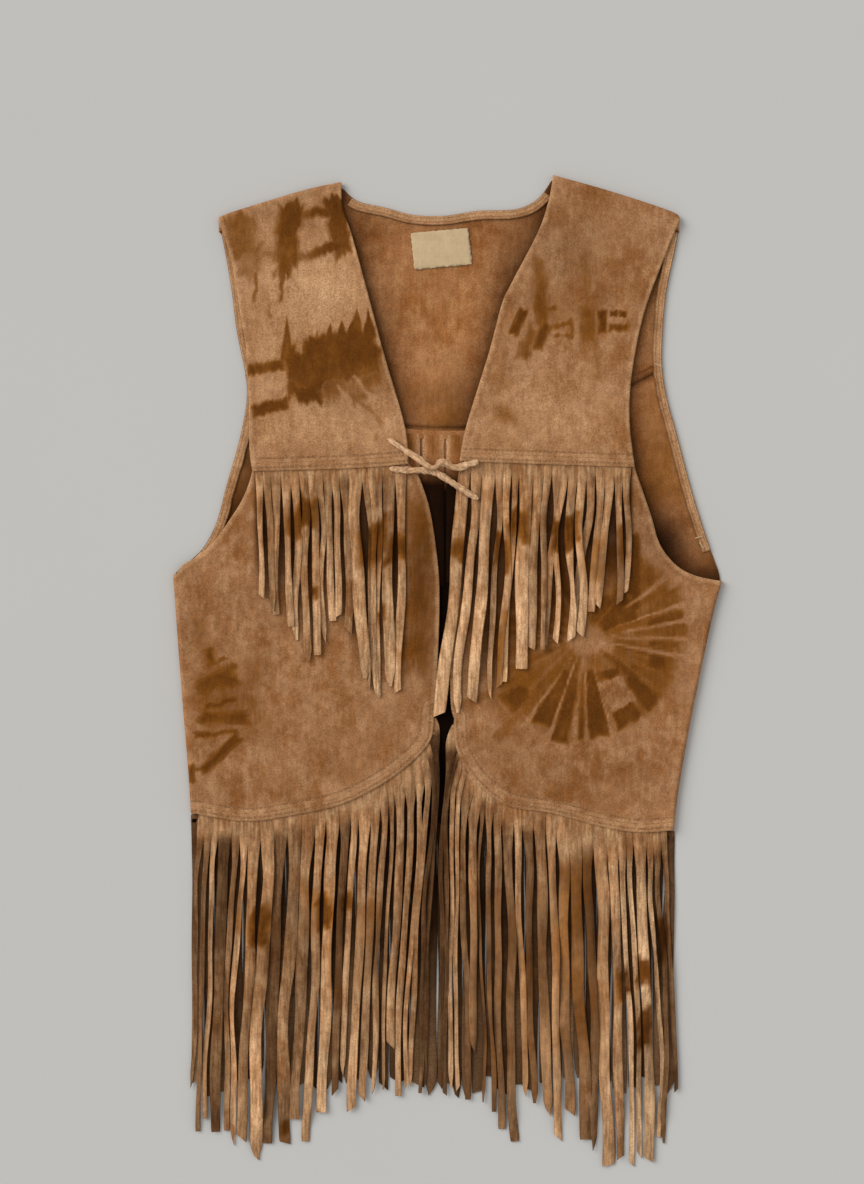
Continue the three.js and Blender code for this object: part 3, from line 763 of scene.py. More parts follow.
def level_at(height: float) -> Height:
    """A flat middle surface at a height."""
    return lambda x, y: np.full(np.shape(x), height)


def coons(top: Array, bottom: Array, left: Array, right: Array) -> Array:
    """A grid that fills the space between four lines.

    Args:
        top: Line from the upper left to the upper right corner.
        bottom: Line from the lower left to the lower right corner.
        left: Line from the upper left to the lower left corner.
        right: Line from the upper right to the lower right corner.

    Returns:
        (row, column, 2): the blend of top and bottom, plus the blend of left and right, less
        the blend of the four corners.
    """
    u = np.linspace(0, 1, len(top))[None, :, None]
    v = np.linspace(0, 1, len(left))[:, None, None]
    rows = (1 - v) * top[None] + v * bottom[None]
    columns = (1 - u) * left[:, None] + u * right[:, None]
    corners = ((1 - u) * (1 - v) * top[0] + u * (1 - v) * top[-1]
               + (1 - u) * v * bottom[0] + u * v * bottom[-1])
    return rows + columns - corners


def make_piece(name: str, form: Form, material: bpy.types.Material,
               nodes: Sequence[str] = (), sharp: float = 60) -> bpy.types.Object:
    """Puts a form into a mesh object that rides on the garment.

    Args:
        name: The piece's name.
        form: Its points, faces and numbers.
        material: Its finish.
        nodes: The solids it stands for.
        sharp: Angle in degrees from which an edge shows as sharp.

    Returns:
        The object, at the origin, with its place in its mesh.
    """
    mesh = bpy.data.meshes.new(name)
    mesh.from_pydata((form.points * MM).tolist(), [], form.faces)
    mesh.materials.append(material)
    mesh.polygons.foreach_set("use_smooth", np.ones(len(mesh.polygons), bool))
    mesh.set_sharp_from_angle(angle=math.radians(sharp))
    for label, values in form.numbers.items():
        attribute = mesh.attributes.new(label, "FLOAT", "POINT")
        attribute.data.foreach_set("value", values.astype(np.float32))
    mesh.update()
    piece = bpy.data.objects.new(name, mesh)
    bpy.context.scene.collection.objects.link(piece)
    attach(piece, "root")
    if nodes:
        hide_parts(*nodes)
    log.info("%s: %d points, %d faces", name, len(form.points), len(form.faces))
    return piece


# Finishes


def linear(code: str) -> tuple[float, float, float, float]:
    """Linear colour of an sRGB hex code.

    Args:
        code: Six hex digits after a hash.

    Returns:
        Red, green, blue and an alpha of 1.
    """
    parts = [int(code[i: i + 2], 16) / 255 for i in (1, 3, 5)]
    r, g, b = (c / 12.92 if c <= 0.04045 else ((c + 0.055) / 1.055) ** 2.4 for c in parts)
    return r, g, b, 1.0


def add_node(tree: bpy.types.NodeTree, kind: str, inputs: Sequence[Any] | dict[Any, Any] = (),
             output: int | str = 0, **settings: Any) -> Any:
    """Adds a shader node with its settings and links.

    Args:
        tree: The material's node tree.
        kind: The node's type, less the word ShaderNode.
        inputs: In order, or by name or number, a value, or the output that feeds it.
        output: Which of its outputs is used.
        settings: Its properties.

    Returns:
        That output, or None where the node has none.
    """
    made = tree.nodes.new("ShaderNode" + kind)
    for name, value in settings.items():
        setattr(made, name, value)
    for name, value in inputs.items() if isinstance(inputs, dict) else enumerate(inputs):
        if isinstance(value, bpy.types.NodeSocket):
            tree.links.new(value, made.inputs[name])
        else:
            made.inputs[name].default_value = value
    return made.outputs[output] if len(made.outputs) else None


def new_material(name: str) -> tuple[bpy.types.Material, bpy.types.NodeTree]:
    """An empty node material and its tree."""
    material = bpy.data.materials.new(name)
    material.use_nodes = True
    material.node_tree.nodes.clear()
    return material, material.node_tree


@dataclass(frozen=True)
class Suede:
    """Cowhide suede, split and buffed to a short nap: no gloss, a soft sheen at a flat angle,
    fine grain, and cloudy patches where the nap lies another way. Dye has soaked into it, and
    shade takes more of its blue and green than of its red."""

    name: str
    nap: str
    warm: str
    pale: str
    dye_rim: str = "#764511"
    dye: str = "#5d340e"
    rubbed: str = "#c69b71"
    mottle_mm: float = 44.0
    patch_mm: float = 12.0
    grain_mm: float = 1.3
    grain: float = 0.26
    streak: float = 0.08
    hem_line_mm: float = HEM_LINE
    deepening: tuple[float, float, float] = (1.0, 1.1, 1.22)
    groove: str = "#5a3a22"
    bump: float = 0.5
    sheen: float = 0.1
    sheen_tint: str = "#b98450"

    def material(self) -> bpy.types.Material:
        """Builds the material.

        Returns:
            Noise of several sizes in Object coordinates colours the nap, some of it drawn out
            down the garment, as the hide's fibres run. Numbers at the points bring the dye, the
            tone, rubbed edges and the distance from a sewn edge.
        """
        made, tree = new_material(self.name)
        node = partial(add_node, tree)
        coords = node("TexCoord", output="Object")
        stained, tone, rub, sewn = (node("Attribute", output="Fac", attribute_name=name)
                                    for name in ("dye", "tone", "rub", "edge"))
        mottle, patch, grain, blotch, fibre, thread = (
            node("TexNoise", {
                "Vector": node("Mapping", {"Vector": coords, "Scale": (1.0, stretch, 1.0)}),
                "Scale": 1 / (size * MM), "Detail": detail, "Roughness": rough,
            })
            for size, detail, rough, stretch in (
                (self.mottle_mm, 4, 0.6, 1.0), (self.patch_mm, 4, 0.62, 0.7),
                (self.grain_mm, 3, 0.7, 1.0), (5.5, 3, 0.6, 0.8), (2.3, 3, 0.6, 0.11),
                (2.1, 1, 0.5, 1.0),
            )
        )
        dye = stained
        for source, push in ((patch, 0.5), (grain, 0.3), (fibre, 0.5)):
            centred = node("Math", (source, 0.5), operation="SUBTRACT")
            dye = node("Math", (centred, push, dye), operation="MULTIPLY_ADD")
        there = node("Math", (stained, 8.0), operation="MULTIPLY", use_clamp=True)
        dye = node("Math", (dye, there), operation="MULTIPLY")
        rubbed = node("MapRange", (grain, 0.2, 0.6, 0.5, 1.0), **SMOOTH)
        rubbed = node("Math", (rub, rubbed), operation="MULTIPLY")
        away = node("Math", (sewn, self.hem_line_mm), operation="SUBTRACT")
        away = node("Math", (away,), operation="ABSOLUTE")
        line = node("MapRange", (away, 0.4, 1.2, 1.0, 0.0), **SMOOTH)
        broken = node("MapRange", (thread, 0.4, 0.6, 0.06, 0.5), **SMOOTH)
        broken = node("Math", (line, broken), operation="MULTIPLY")
        colour = linear(self.nap)
        for factor, code in (
            (node("MapRange", (mottle, 0.36, 0.66), **SMOOTH), self.warm),
            (node("MapRange", (patch, 0.4, 0.7, 0.0, 0.55), **SMOOTH), self.pale),
            (node("MapRange", (dye, 0.16, 0.56, 0.0, 0.92), **SMOOTH), self.dye_rim),
            (node("MapRange", (dye, 0.48, 0.82, 0.0, 0.94), **SMOOTH), self.dye),
            (rubbed, self.rubbed),
            (broken, self.groove),
        ):
            colour = node("Mix", {0: factor, 6: colour, 7: linear(code)}, 2, data_type="RGBA")
        for source, low, high, swing in ((grain, 0.25, 0.75, self.grain), (blotch, 0.3, 0.7, 0.1),
                                         (fibre, 0.28, 0.72, self.streak)):
            part = node("MapRange", (source, low, high, 1 - swing, 1 + swing), **SMOOTH)
            tone = node("Math", (tone, part), operation="MULTIPLY")
        # The tone number carries painted shade as well as the suede's own unevenness; where it is low,
        # the colour turns redder as it darkens.
        shades = [node("Math", (tone, power), operation="POWER") for power in self.deepening]
        tone = node("CombineXYZ", shades)
        colour = node("Mix", {0: 1.0, 6: colour, 7: tone}, 2, data_type="RGBA", blend_type="MULTIPLY")
        height = node("Math", (patch, 0.8, grain), operation="MULTIPLY_ADD")
        height = node("Math", (line, -0.6, height), operation="MULTIPLY_ADD")
        relief = node("Bump", {"Strength": self.bump, "Distance": 0.6 * MM, "Height": height})
        shader = node("BsdfPrincipled", {
            "Base Color": colour, "Roughness": 0.92, "IOR": 1.46, "Specular IOR Level": 0.06,
            "Sheen Weight": self.sheen, "Sheen Roughness": 0.5,
            "Sheen Tint": linear(self.sheen_tint), "Normal": relief,
        })
        node("OutputMaterial", {"Surface": shader})
        return made


@dataclass(frozen=True)
class Weave:
    """Plain-woven cloth or spun thread: dull, with a small light and dark check. The real
    threads are about 0.4 mm apart and are drawn coarser, so that they show."""

    name: str
    light: str
    dark: str
    thread_mm: float = 1.1
    patch_mm: float = 9.0

    def material(self) -> bpy.types.Material:
        """Builds the material.

        Returns:
            Two sets of bands across each other make the check, and noise makes it uneven.
        """
        made, tree = new_material(self.name)
        node = partial(add_node, tree)
        coords = node("TexCoord", output="Object")
        bands = [
            node("TexWave", {"Vector": coords, "Scale": 0.31 / (self.thread_mm * MM),
                             "Distortion": 1.4, "Detail": 2.0, "Detail Scale": 1.5},
                 1, bands_direction=way)
            for way in ("X", "Y")
        ]
        check = node("Math", bands, operation="MULTIPLY")
        patch = node("TexNoise", {"Vector": coords, "Scale": 1 / (self.patch_mm * MM),
                                  "Detail": 5.0, "Roughness": 0.65})
        blend = node("Math", (check, 0.45, patch), operation="MULTIPLY_ADD")
        share = node("MapRange", (blend, 0.35, 0.95))
        colour = node("Mix", {0: share, 6: linear(self.dark), 7: linear(self.light)}, 2,
                      data_type="RGBA")
        tone = node("Attribute", output="Vector", attribute_name="tone")
        colour = node("Mix", {0: 1.0, 6: colour, 7: tone}, 2, data_type="RGBA", blend_type="MULTIPLY")
        relief = node("Bump", {"Strength": 0.5, "Distance": 0.3 * MM, "Height": blend})
        shader = node("BsdfPrincipled", {"Base Color": colour, "Roughness": 0.85,
                                         "Specular IOR Level": 0.25, "Sheen Weight": 0.2,
                                         "Normal": relief})
        node("OutputMaterial", {"Surface": shader})
        return made


@dataclass(frozen=True)
class Board:
    """Painted board under the garment: matt, pale and very slightly uneven."""

    name: str
    light: str
    dark: str

    def material(self) -> bpy.types.Material:
        """Builds the material.

        Returns:
            Broad soft noise between two close greys.
        """
        made, tree = new_material(self.name)
        node = partial(add_node, tree)
        coords = node("TexCoord", output="Object")
        patch = node("TexNoise", {"Vector": coords, "Scale": 3.0, "Detail": 2.0})
        colour = node("Mix", {0: patch, 6: linear(self.dark), 7: linear(self.light)}, 2,
                      data_type="RGBA")
        shader = node("BsdfPrincipled", {"Base Color": colour, "Roughness": 0.95,
                                         "Specular IOR Level": 0.0})
        node("OutputMaterial", {"Surface": shader})
        return made


@dataclass(frozen=True)
class Wardrobe:
    """The garment's finishes, each made once."""

    outside: bpy.types.Material
    fringe: bpy.types.Material
    inside: bpy.types.Material
    # painted shade: the back's fringe, darkened as if in the fronts' shadow
    behind: bpy.types.Material
    lace: bpy.types.Material
    label: bpy.types.Material
    thread: bpy.types.Material

    @classmethod
    def made(cls) -> "Wardrobe":
        """Makes every finish."""
        return cls(
            # A soft brown ground without gloss, on which dye and rubbed edges show
            outside=Suede("buffed_cowhide_suede", "#9a6c47", "#86552c", "#b58a64").material(),
            # Paler than the panels, and streaked down each strand as it was cut
            fringe=Suede("cut_cowhide_suede", "#9f7550", "#8d5f39", "#c09a72", grain=0.2,
                         streak=0.32, rubbed="#cba37a").material(),
            # The redder, cloudier inner face at the neck
            inside=Suede("inner_face_cowhide_suede", "#a26d44", "#8c5427", "#b28154",
                         mottle_mm=46).material(),
            # Painted shade: the deep brown of the back's fringe, which shows between the fronts'
            # strands, so that they stand out before it
            behind=Suede("shaded_cowhide_suede", "#5c4028", "#4d331e", "#74543a").material(),
            # The lightest suede, so that the knot stands out before the dark gap
            lace=Suede("suede_lace", "#d2a780", "#bd9069", "#e6c29c", grain=0.26,
                       deepening=(1.0, 1.04, 1.08)).material(),
            # Straw-coloured cloth with a fine check
            label=Weave("linen_label", "#cfb78f", "#b89c76").material(),
            # Brown thread that shows as short pale dashes along a seam
            thread=Weave("spun_sewing_thread", "#ae845a", "#8c623c", thread_mm=0.8).material(),
        )


@dataclass
class Dressed:
    """A part of the garment that takes its finishes from the wardrobe."""

    finishes: Wardrobe


# The studio


@dataclass
class Studio:
    """A pale board under the garment, soft light from the upper left, and the camera."""

    lens_mm: float = 120.0
    sensor_mm: float = 36.0
    high_mm: float = 1013.5
    aim_mm: tuple[float, float] = (-13.3, 67.2)
    board_mm: float = 5200.0
    lamp_from: tuple[float, float, float] = (-0.72, 0.42, 0.62)
    lamp_strength: float = 2.15
    lamp_spread: float = 42.0
    sky: float = 0.59

    def camera(self) -> None:
        """Looks straight down, so that the picture's height takes in high_mm of the board."""
        data = bpy.data.cameras.new("camera")
        data.lens, data.sensor_width = self.lens_mm, self.sensor_mm
        data.clip_start, data.clip_end = 0.05, 50.0
        made = bpy.data.objects.new("camera", data)
        away = self.high_mm * self.lens_mm / self.sensor_mm
        x, y = self.aim_mm
        made.location = (x * MM, y * MM, (away + REST) * MM)
        bpy.context.scene.collection.objects.link(made)
        bpy.context.scene.camera = made

    def board(self) -> None:
        """A flat board just under the garment, cut in a grid so that it has a plain mesh."""
        half = self.board_mm / 2
        side = np.linspace(-half, half, 9)
        x, y = np.meshgrid(side, side)
        index = np.arange(81).reshape(9, 9)
        faces = np.stack([index[:-1, :-1], index[:-1, 1:], index[1:, 1:], index[1:, :-1]], axis=-1)
        points = np.stack([x.ravel(), y.ravel(), np.full(81, -0.2)], axis=1)
        mesh = bpy.data.meshes.new("board")
        mesh.from_pydata((points * MM).tolist(), [], faces.reshape(-1, 4).tolist())
        mesh.materials.append(Board("matt_painted_board", "#c3c1bd", "#bfbdb9").material())
        made = bpy.data.objects.new("board", mesh)
        bpy.context.scene.collection.objects.link(made)

    def light(self) -> None:
        """One even, wide lamp from the upper left, and a plain sky that fills the shadows."""
        data = bpy.data.lights.new("window_lamp", "SUN")
        data.energy, data.angle = self.lamp_strength, math.radians(self.lamp_spread)
        made = bpy.data.objects.new("window_lamp", data)
        made.location = self.lamp_from
        made.rotation_mode = "QUATERNION"
        made.rotation_quaternion = (-made.location).to_track_quat("-Z", "Y")
        bpy.context.scene.collection.objects.link(made)
        world = bpy.data.worlds.new("sky")
        world.use_nodes = True
        background = world.node_tree.nodes["Background"]
        background.inputs["Color"].default_value = (1.0, 1.0, 1.0, 1.0)
        background.inputs["Strength"].default_value = self.sky
        bpy.context.scene.world = world
        bpy.context.scene.view_settings.view_transform = "Standard"

    def build(self) -> None:
        """Camera, board and light."""
        self.camera()
        self.board()
        self.light()
        log.info("studio: camera, board and light")


# Ties


@dataclass
class Tie(Dressed):
    """One suede lace, from the yoke's corner through the half knot to its free end."""

    side: Side
    route: Rows
    steps: int = 140
    sides: int = 16
    twist: float = 5.5  # how far it turns each way, in radians
    broad: float = 1.3  # its breadth beside a round lace's
    low: float = 0.84  # its height beside a round lace's

    def build(self) -> None:
        """A tube along the route, flat and a little square, that twists, swells unevenly and
        tapers to its free end, as a cut lace does."""
        line = lace_line(self.route, self.steps)
        way = unit(np.gradient(line, axis=0))
        across = unit(np.cross(way, [0.0, 0.0, 1.0]))
        up = np.cross(across, way)
        share = np.linspace(0, 1, len(line))
        seed = 40 + self.side.value
        turn = self.twist * cloud(share * 100, share * 0, 30, 1, seed)
        angle = np.linspace(0, 2 * np.pi, self.sides, endpoint=False)[None, :] + turn[:, None]
        square = (np.abs(np.cos(angle - turn[:, None])) ** 4
                  + np.abs(np.sin(angle - turn[:, None])) ** 4) ** -0.25
        wide = (1 + 0.2 * cloud(share * 100, share * 0 + 3, 9, 1, seed + 1)
                + 0.16 * cloud(share * 100, share * 0 + 7, 3, 1, seed + 5))
        ends = 0.55 + 0.47 * smoothstep(np.minimum(share, 1 - share), 0, 0.04)
        ends = ends - 0.14 * smoothstep(share, 0.6, 0.95)
        radius = LACE / 2 * (wide * ends)[:, None] * (0.3 + 0.7 * square)
        ring = (line[:, None] + across[:, None] * (radius * np.cos(angle))[..., None] * self.broad
                + up[:, None] * (radius * np.sin(angle))[..., None] * self.low)
        ring[..., 2] = np.maximum(ring[..., 2], line[:, None, 2] - 0.49 * LACE)
        tone = 1 + 0.3 * cloud(share[:, None] * 100, angle * 3, 3, 2, seed + 2)
        tone = tone * (0.72 + 0.28 * smoothstep(square, 1.0, 1.12))
        form = loft(ring[None], {"dye": 0.0, "tone": tone[None], "rub": 0.25, "edge": UNSEWN})
        piece = make_piece(f"tie_{self.side.word}_lace", form, self.finishes.lace,
                           [f"tie_{self.side.word}"])
        log.info("tie %s is %.1f mm long", self.side.word, length_of(line))

    def stated_length(self) -> float:
        """Length of the lace that shows, in metres."""
        return {Side.LEFT: 0.083, Side.RIGHT: 0.089}[self.side]


# Sewing


@dataclass(frozen=True)
class Sewing:
    """Lockstitch: short thread bridges in a row, each pulled down into the suede at its ends."""

    stitch_mm: float = 2.5
    pitch_mm: float = 3.5
    thread_mm: float = 0.62

    def row(self, line: Array, surface: Array, seed: int) -> Form:
        """One row of stitches along a line on a panel.

        Args:
            line: The line, seen from above.
            surface: Points of the panel's upper face.
            seed: Which unevenness.

        Returns:
            A spindle for each stitch: six-sided rings that are widest in the middle.
        """
        count = max(2, int(length_of(line) / self.pitch_mm))
        at = (np.arange(count) + 0.5) / count
        place = spaced(line, at)
        before, after = (spaced(line, np.clip(at + step / count, 0, 1)) for step in (-0.4, 0.4))
        way = np.column_stack([unit(after - before), np.zeros(count)])
        gap = ((place[:, None, :] - surface[None, :, :2]) ** 2).sum(-1)
        near = np.argpartition(gap, 3, axis=1)[:, :4]
        weight = 1 / (np.take_along_axis(gap, near, axis=1) + 0.05)
        height = (surface[near, 2] * weight).sum(1) / weight.sum(1)
        middle = np.column_stack([place, height])
        numbers = np.arange(count)
        middle[:, :2] += 0.12 * np.stack([uneven(numbers, seed), uneven(numbers, seed + 1)], axis=1)
        across = np.stack([-way[:, 1], way[:, 0], np.zeros(count)], axis=1)
        reach = np.array([-1.0, -0.7, 0.0, 0.7, 1.0])
        size = np.array([0.35, 0.85, 1.0, 0.85, 0.35]) * self.thread_mm / 2
        bow = np.array([-0.22, 0.02, 0.14, 0.02, -0.22])
        length = self.stitch_mm / 2 * (1 + 0.1 * uneven(numbers, seed + 2))
        angle = np.linspace(0, 2 * np.pi, 6, endpoint=False)
        centre = middle[:, None] + way[:, None] * (reach[None, :, None] * length[:, None, None])
        centre = centre + np.array([0, 0, 1.0]) * bow[None, :, None]
        ring = (centre[:, :, None]
                + across[:, None, None] * (size[:, None] * np.cos(angle))[None, :, :, None]
                + np.array([0, 0, 1.0]) * (size[:, None] * np.sin(angle))[None, :, :, None])
        return loft(ring, {"tone": 1.0})


# Fronts


def front_grid(outer: Sequence[Rows], rows: Sequence[int], inner: Rows, top: Rows, bottom: Rows,
               columns: int) -> tuple[Array, Array, Array, Array]:
    """Rows of points over a front panel, seen from above.

    Args:
        outer: The outer edge's tables, from the top down.
        rows: Steps along each of them.
        inner: The inner edge.
        top: The upper edge.
        bottom: The lower edge.
        columns: Steps across.

    Returns:
        X and Y of each point, its share of the width, and the heights in the picture of the
        upper and lower edge in its column. A point's Y is a share of the way from the upper to
        the lower edge, and its X that share of the way between the outer and inner edge.
    """
    lines = [spline(part, count) for part, count in zip(outer, rows, strict=True)]
    stations = np.vstack([line[1 if i else 0:] for i, line in enumerate(lines)])
    outer_x = edge_at(*[spline(part, 400) for part in outer])
    inner_x = edge_at(spline(inner, 400))

    def share(p: Array) -> Array:
        """Share of the panel's width at each point."""
        return (p[:, 0] - outer_x(p[:, 1])) / (inner_x(p[:, 1]) - outer_x(p[:, 1]))

    upper = spline(top, 300)
    feet = spline(bottom, columns)
    u = np.clip(share(feet), 0, 1)
    head = np.interp(u, np.maximum.accumulate(share(upper)), upper[:, 1])
    even = np.linspace(0, 1, len(stations))[:, None]
    down = ((stations[:, 1] - stations[0, 1]) / (stations[-1, 1] - stations[0, 1]))[:, None]
    way = (1 - u) * down + u * even
    y = head + (feet[:, 1] - head) * way
    x = (1 - u) * outer_x(y) + u * inner_x(y)
    spread = np.ones_like(x)
    return np.stack([x, y], axis=-1), u * spread, head * spread, feet[:, 1] * spread


def fold_section(steps: int) -> tuple[Array, Array]:
    """Places on the half circle round a folded edge, and on the width past it.

    Args:
        steps: Steps round the half circle.

    Returns:
        The way outwards and the height, from the hidden seam to just before the panel.
    """
    past = np.linspace(-TURN, 0, 4)[:-1]
    angle = np.linspace(math.pi, 0, steps + 1)[:-1]
    out = np.concatenate([past, FOLD * np.sin(angle)])
    high = np.concatenate([np.full(3, WALL / 2), WALL / 2 + FOLD * (1 + np.cos(angle))])
    return out, high


@dataclass
class Front(Dressed):
    """One front: its yoke, folded over the shoulder, its body, folded round the side, and the
    sewing on both."""

    cut: Cut
    yoke_marks: Sequence[Dye]
    body_marks: Sequence[Dye]
    fringe_rows: Rows
    blooms: Sequence[Bloom]
    yoke_flat: tuple[float, float, float]
    body_flat: tuple[float, float, float]
    curl_height: float = 3.0
    curl_middle: float = 300.0
    curl_reach: float = 60.0
    seed: int = 0
    rows: Form | None = None
    sewing: Sewing = field(default_factory=Sewing)

    def shade(self, points: Array, turned: Sequence[Array], sewn: Sequence[Array],
              marks: Sequence[Dye], rest: Array) -> dict[str, Array]:
        """Numbers for a panel's finish.

        Args:
            points: The panel's middle points.
            turned: Its turned edges, with a light rubbed lip and a groove inside it.
            sewn: Its edges that are sewn down over a fringe, with a pale band.
            marks: Its dye.
            rest: How deep in painted shade each point lies, from 0 to 1.

        Returns:
            Dye, tone, rub and distance from a sewn edge for each point. Rub is held back
            where there is dye. The distance is shifted so that the sewn line falls on each
            row of stitches.
        """
        x, y = points[..., 0], points[..., 1]
        lip = np.min([distance(points, line) for line in turned], axis=0)
        seam = np.min([distance(points, line) for line in sewn], axis=0)
        frayed = cloud(x, y, 5, 5, self.seed + 5)
        rub = 0.42 * (1 - smoothstep(lip, 0.8, 4.6 + 2 * frayed))
        rub = np.maximum(rub, (0.24 + 0.12 * frayed) * (1 - smoothstep(seam, 8.5, 13)))
        rub = np.maximum(rub, 0.3 * (1 - smoothstep(seam, 0.2, 1.4)))
        rub = np.clip(rub * (1 + 0.5 * frayed), 0, 1)
        tone = 1 + 0.06 * cloud(x, y, 60, 46, self.seed + 6) + 0.07 * cloud(x, y, 17, 21, self.seed + 7)
        tone = tone + sum(bloom.light * bloom.at(x, y) for bloom in self.blooms)
        rub = np.maximum(rub, sum(bloom.pale * bloom.at(x, y) for bloom in self.blooms))
        dye = dyed(x, y, marks, self.seed + 100)
        rub = rub * (1 - smoothstep(dye, 0.3, 0.7))
        tone = tone * (1 - 0.1 * bell(lip - HEM_LINE, 1.1))
        rows = np.stack([seam + HEM_LINE - inset for inset in ROW_INSETS])
        nearest = np.abs(rows - HEM_LINE).argmin(axis=0)
        row = np.take_along_axis(rows, nearest[None], axis=0)[0]
        # painted shade: the tone darkens and the rub goes where rest is high
        return {"dye": dye, "tone": tone * (1 - 0.86 * rest), "rub": rub * (1 - rest), "edge": row}

    def painted_shade_under_fringe(self, points: Array) -> Array:
        """How deep the body lies in painted shade under the yoke fringe.

        Args:
            points: The body's middle points.

        Returns:
            1 under the fringe's upper part, falling to 0 above its tips and past its ends.
        """
        x, y = points[..., 0], points[..., 1]
        (outer, seam_y), (inner, _) = self.cut.seam[0], self.cut.seam[-1]
        at = np.clip((x - outer) / (inner - outer), 0, 1)
        down = (seam_y - y) / between(self.fringe_rows, at, 1)
        ends = np.minimum(np.abs(x - outer), np.abs(x - inner)) * np.sign((x - outer) * (inner - x))
        deep = 1 - 0.4 * smoothstep(down, 0.4, 0.75) - 0.6 * smoothstep(down, 0.7, 0.96)
        return deep * smoothstep(ends, -1, 4) * (down > -0.1)

    def yoke(self) -> bpy.types.Object:
        """The yoke: middle points as in the part's source, with a lifted neck edge.

        Returns:
            The yoke's piece.
        """
        cut = self.cut
        flat, u, head, foot = front_grid([cut.yoke_armhole], [156], cut.yoke_edge, cut.shoulder,
                                         cut.seam, 100)
        x, y = flat[..., 0], flat[..., 1]
        raised = 1 - smoothstep(y - foot, 13, 48)
        along = bell(y - self.curl_middle, self.curl_reach)
        curl = self.curl_height * along * smoothstep(u, 0.6, 1)
        level = lie(x, y) + OVER_STRIP * raised + curl
        near = np.exp(-(head - y) / SETTLE)
        z = level * (1 - near) + FOLD_TOP * near
        lines = {name: spline(getattr(cut, name), 120) for name in ("yoke_armhole", "yoke_edge", "seam")}
        points = np.dstack([x, y, z])
        lip = np.minimum(distance(points, lines["yoke_armhole"]), distance(points, lines["yoke_edge"]))
        seam = distance(points, lines["seam"])
        pucker = 0.3 * cloud(x, y, 6, 6, self.seed) * np.exp(-lip / 4)
        pucker += 0.22 * cloud(x, y, 4.2, 9, self.seed + 1) * np.exp(-seam / 9)
        points[..., 2] += pucker * smoothstep(head - y, 4, 20)
        out, high = fold_section(14)
        over = np.stack([
            np.broadcast_to(points[0, :, 0], (len(out), points.shape[1])),
            points[0, :, 1] + out[:, None],
            np.broadcast_to(high[:, None], (len(out), points.shape[1])),
        ], axis=-1)
        grid = np.concatenate([over, points])
        numbers = self.shade(grid, [lines["yoke_armhole"], lines["yoke_edge"]], [lines["seam"]],
                             self.yoke_marks, np.zeros(grid.shape[:2]))
        form = shell(grid, WALL, numbers)
        self.stitch_panel(points, lines["seam"])
        name = f"front_yoke_{cut.side.word}"
        return make_piece(f"{name}_suede", form, self.finishes.outside, [name])

    def body(self) -> bpy.types.Object:
        """The body: middle points as in the part's source.

        Returns:
            The body's piece.
        """
        cut = self.cut
        armhole_rows = 64
        flat, _, _, _ = front_grid([cut.body_armhole, cut.side_fold], [armhole_rows, 112],
                                   cut.body_edge, cut.body_top, cut.hem, 140)
        x, y = flat[..., 0], flat[..., 1]
        fold_x = edge_at(spline(cut.side_fold, 300))
        under = smoothstep(cut.side_fold[0][1] + 30 - y, 0, 30)
        near = np.exp(-np.abs(x - fold_x(y)) / SETTLE) * under
        z = lie(x, y) * (1 - near) + FOLD_TOP * near
        points = np.dstack([x, y, z])
        lines = {name: spline(getattr(cut, name), 120) for name in ("body_armhole", "body_edge", "hem")}
        lip = np.minimum(distance(points, lines["body_armhole"]), distance(points, lines["body_edge"]))
        points[..., 2] += 0.3 * cloud(x, y, 6, 6, self.seed + 2) * np.exp(-lip / 4) * (1 - near)
        out, high = fold_section(14)
        wrap = np.stack([
            points[:, :1, 0] + cut.side.value * out,
            np.broadcast_to(points[:, :1, 1], (len(points), len(out))),
            np.broadcast_to(high, (len(points), len(out))),
        ], axis=-1)
        grid = np.concatenate([wrap, points], axis=1)
        kept = np.ones(grid.shape[:2], bool)
        kept[:armhole_rows, : len(out)] = False
        numbers = self.shade(grid, [lines["body_armhole"], lines["body_edge"]], [lines["hem"]],
                             self.body_marks, self.painted_shade_under_fringe(grid))
        form = shell(grid, WALL, numbers, kept, (armhole_rows, len(out)))
        self.stitch_panel(points, lines["hem"])
        name = f"front_body_{cut.side.word}"
        return make_piece(f"{name}_suede", form, self.finishes.outside, [name])

    def stitch_panel(self, points: Array, line: Array) -> None:
        """Adds the rows of stitches inside a panel's sewn edge.

        Args:
            points: The panel's middle points.
            line: The edge.
        """
        surface = points.reshape(-1, 3)[::2] + np.array([0, 0, WALL / 2])
        middle = surface[:, :2].mean(0)
        for number, inset in enumerate(ROW_INSETS):
            both = [shifted(line, inset), shifted(line, -inset)]
            inner = min(both, key=lambda way: float(np.linalg.norm(way - middle, axis=1).mean()))
            row = self.sewing.row(inner[2:-2], surface, self.seed + 20 + number)
            self.rows = row if self.rows is None else joined([self.rows, row])

    def build(self) -> None:
        word = self.cut.side.word
        yoke, body = self.yoke(), self.body()
        stitches = make_piece(f"front_{word}_stitches", self.rows, self.finishes.thread)


# Fringes


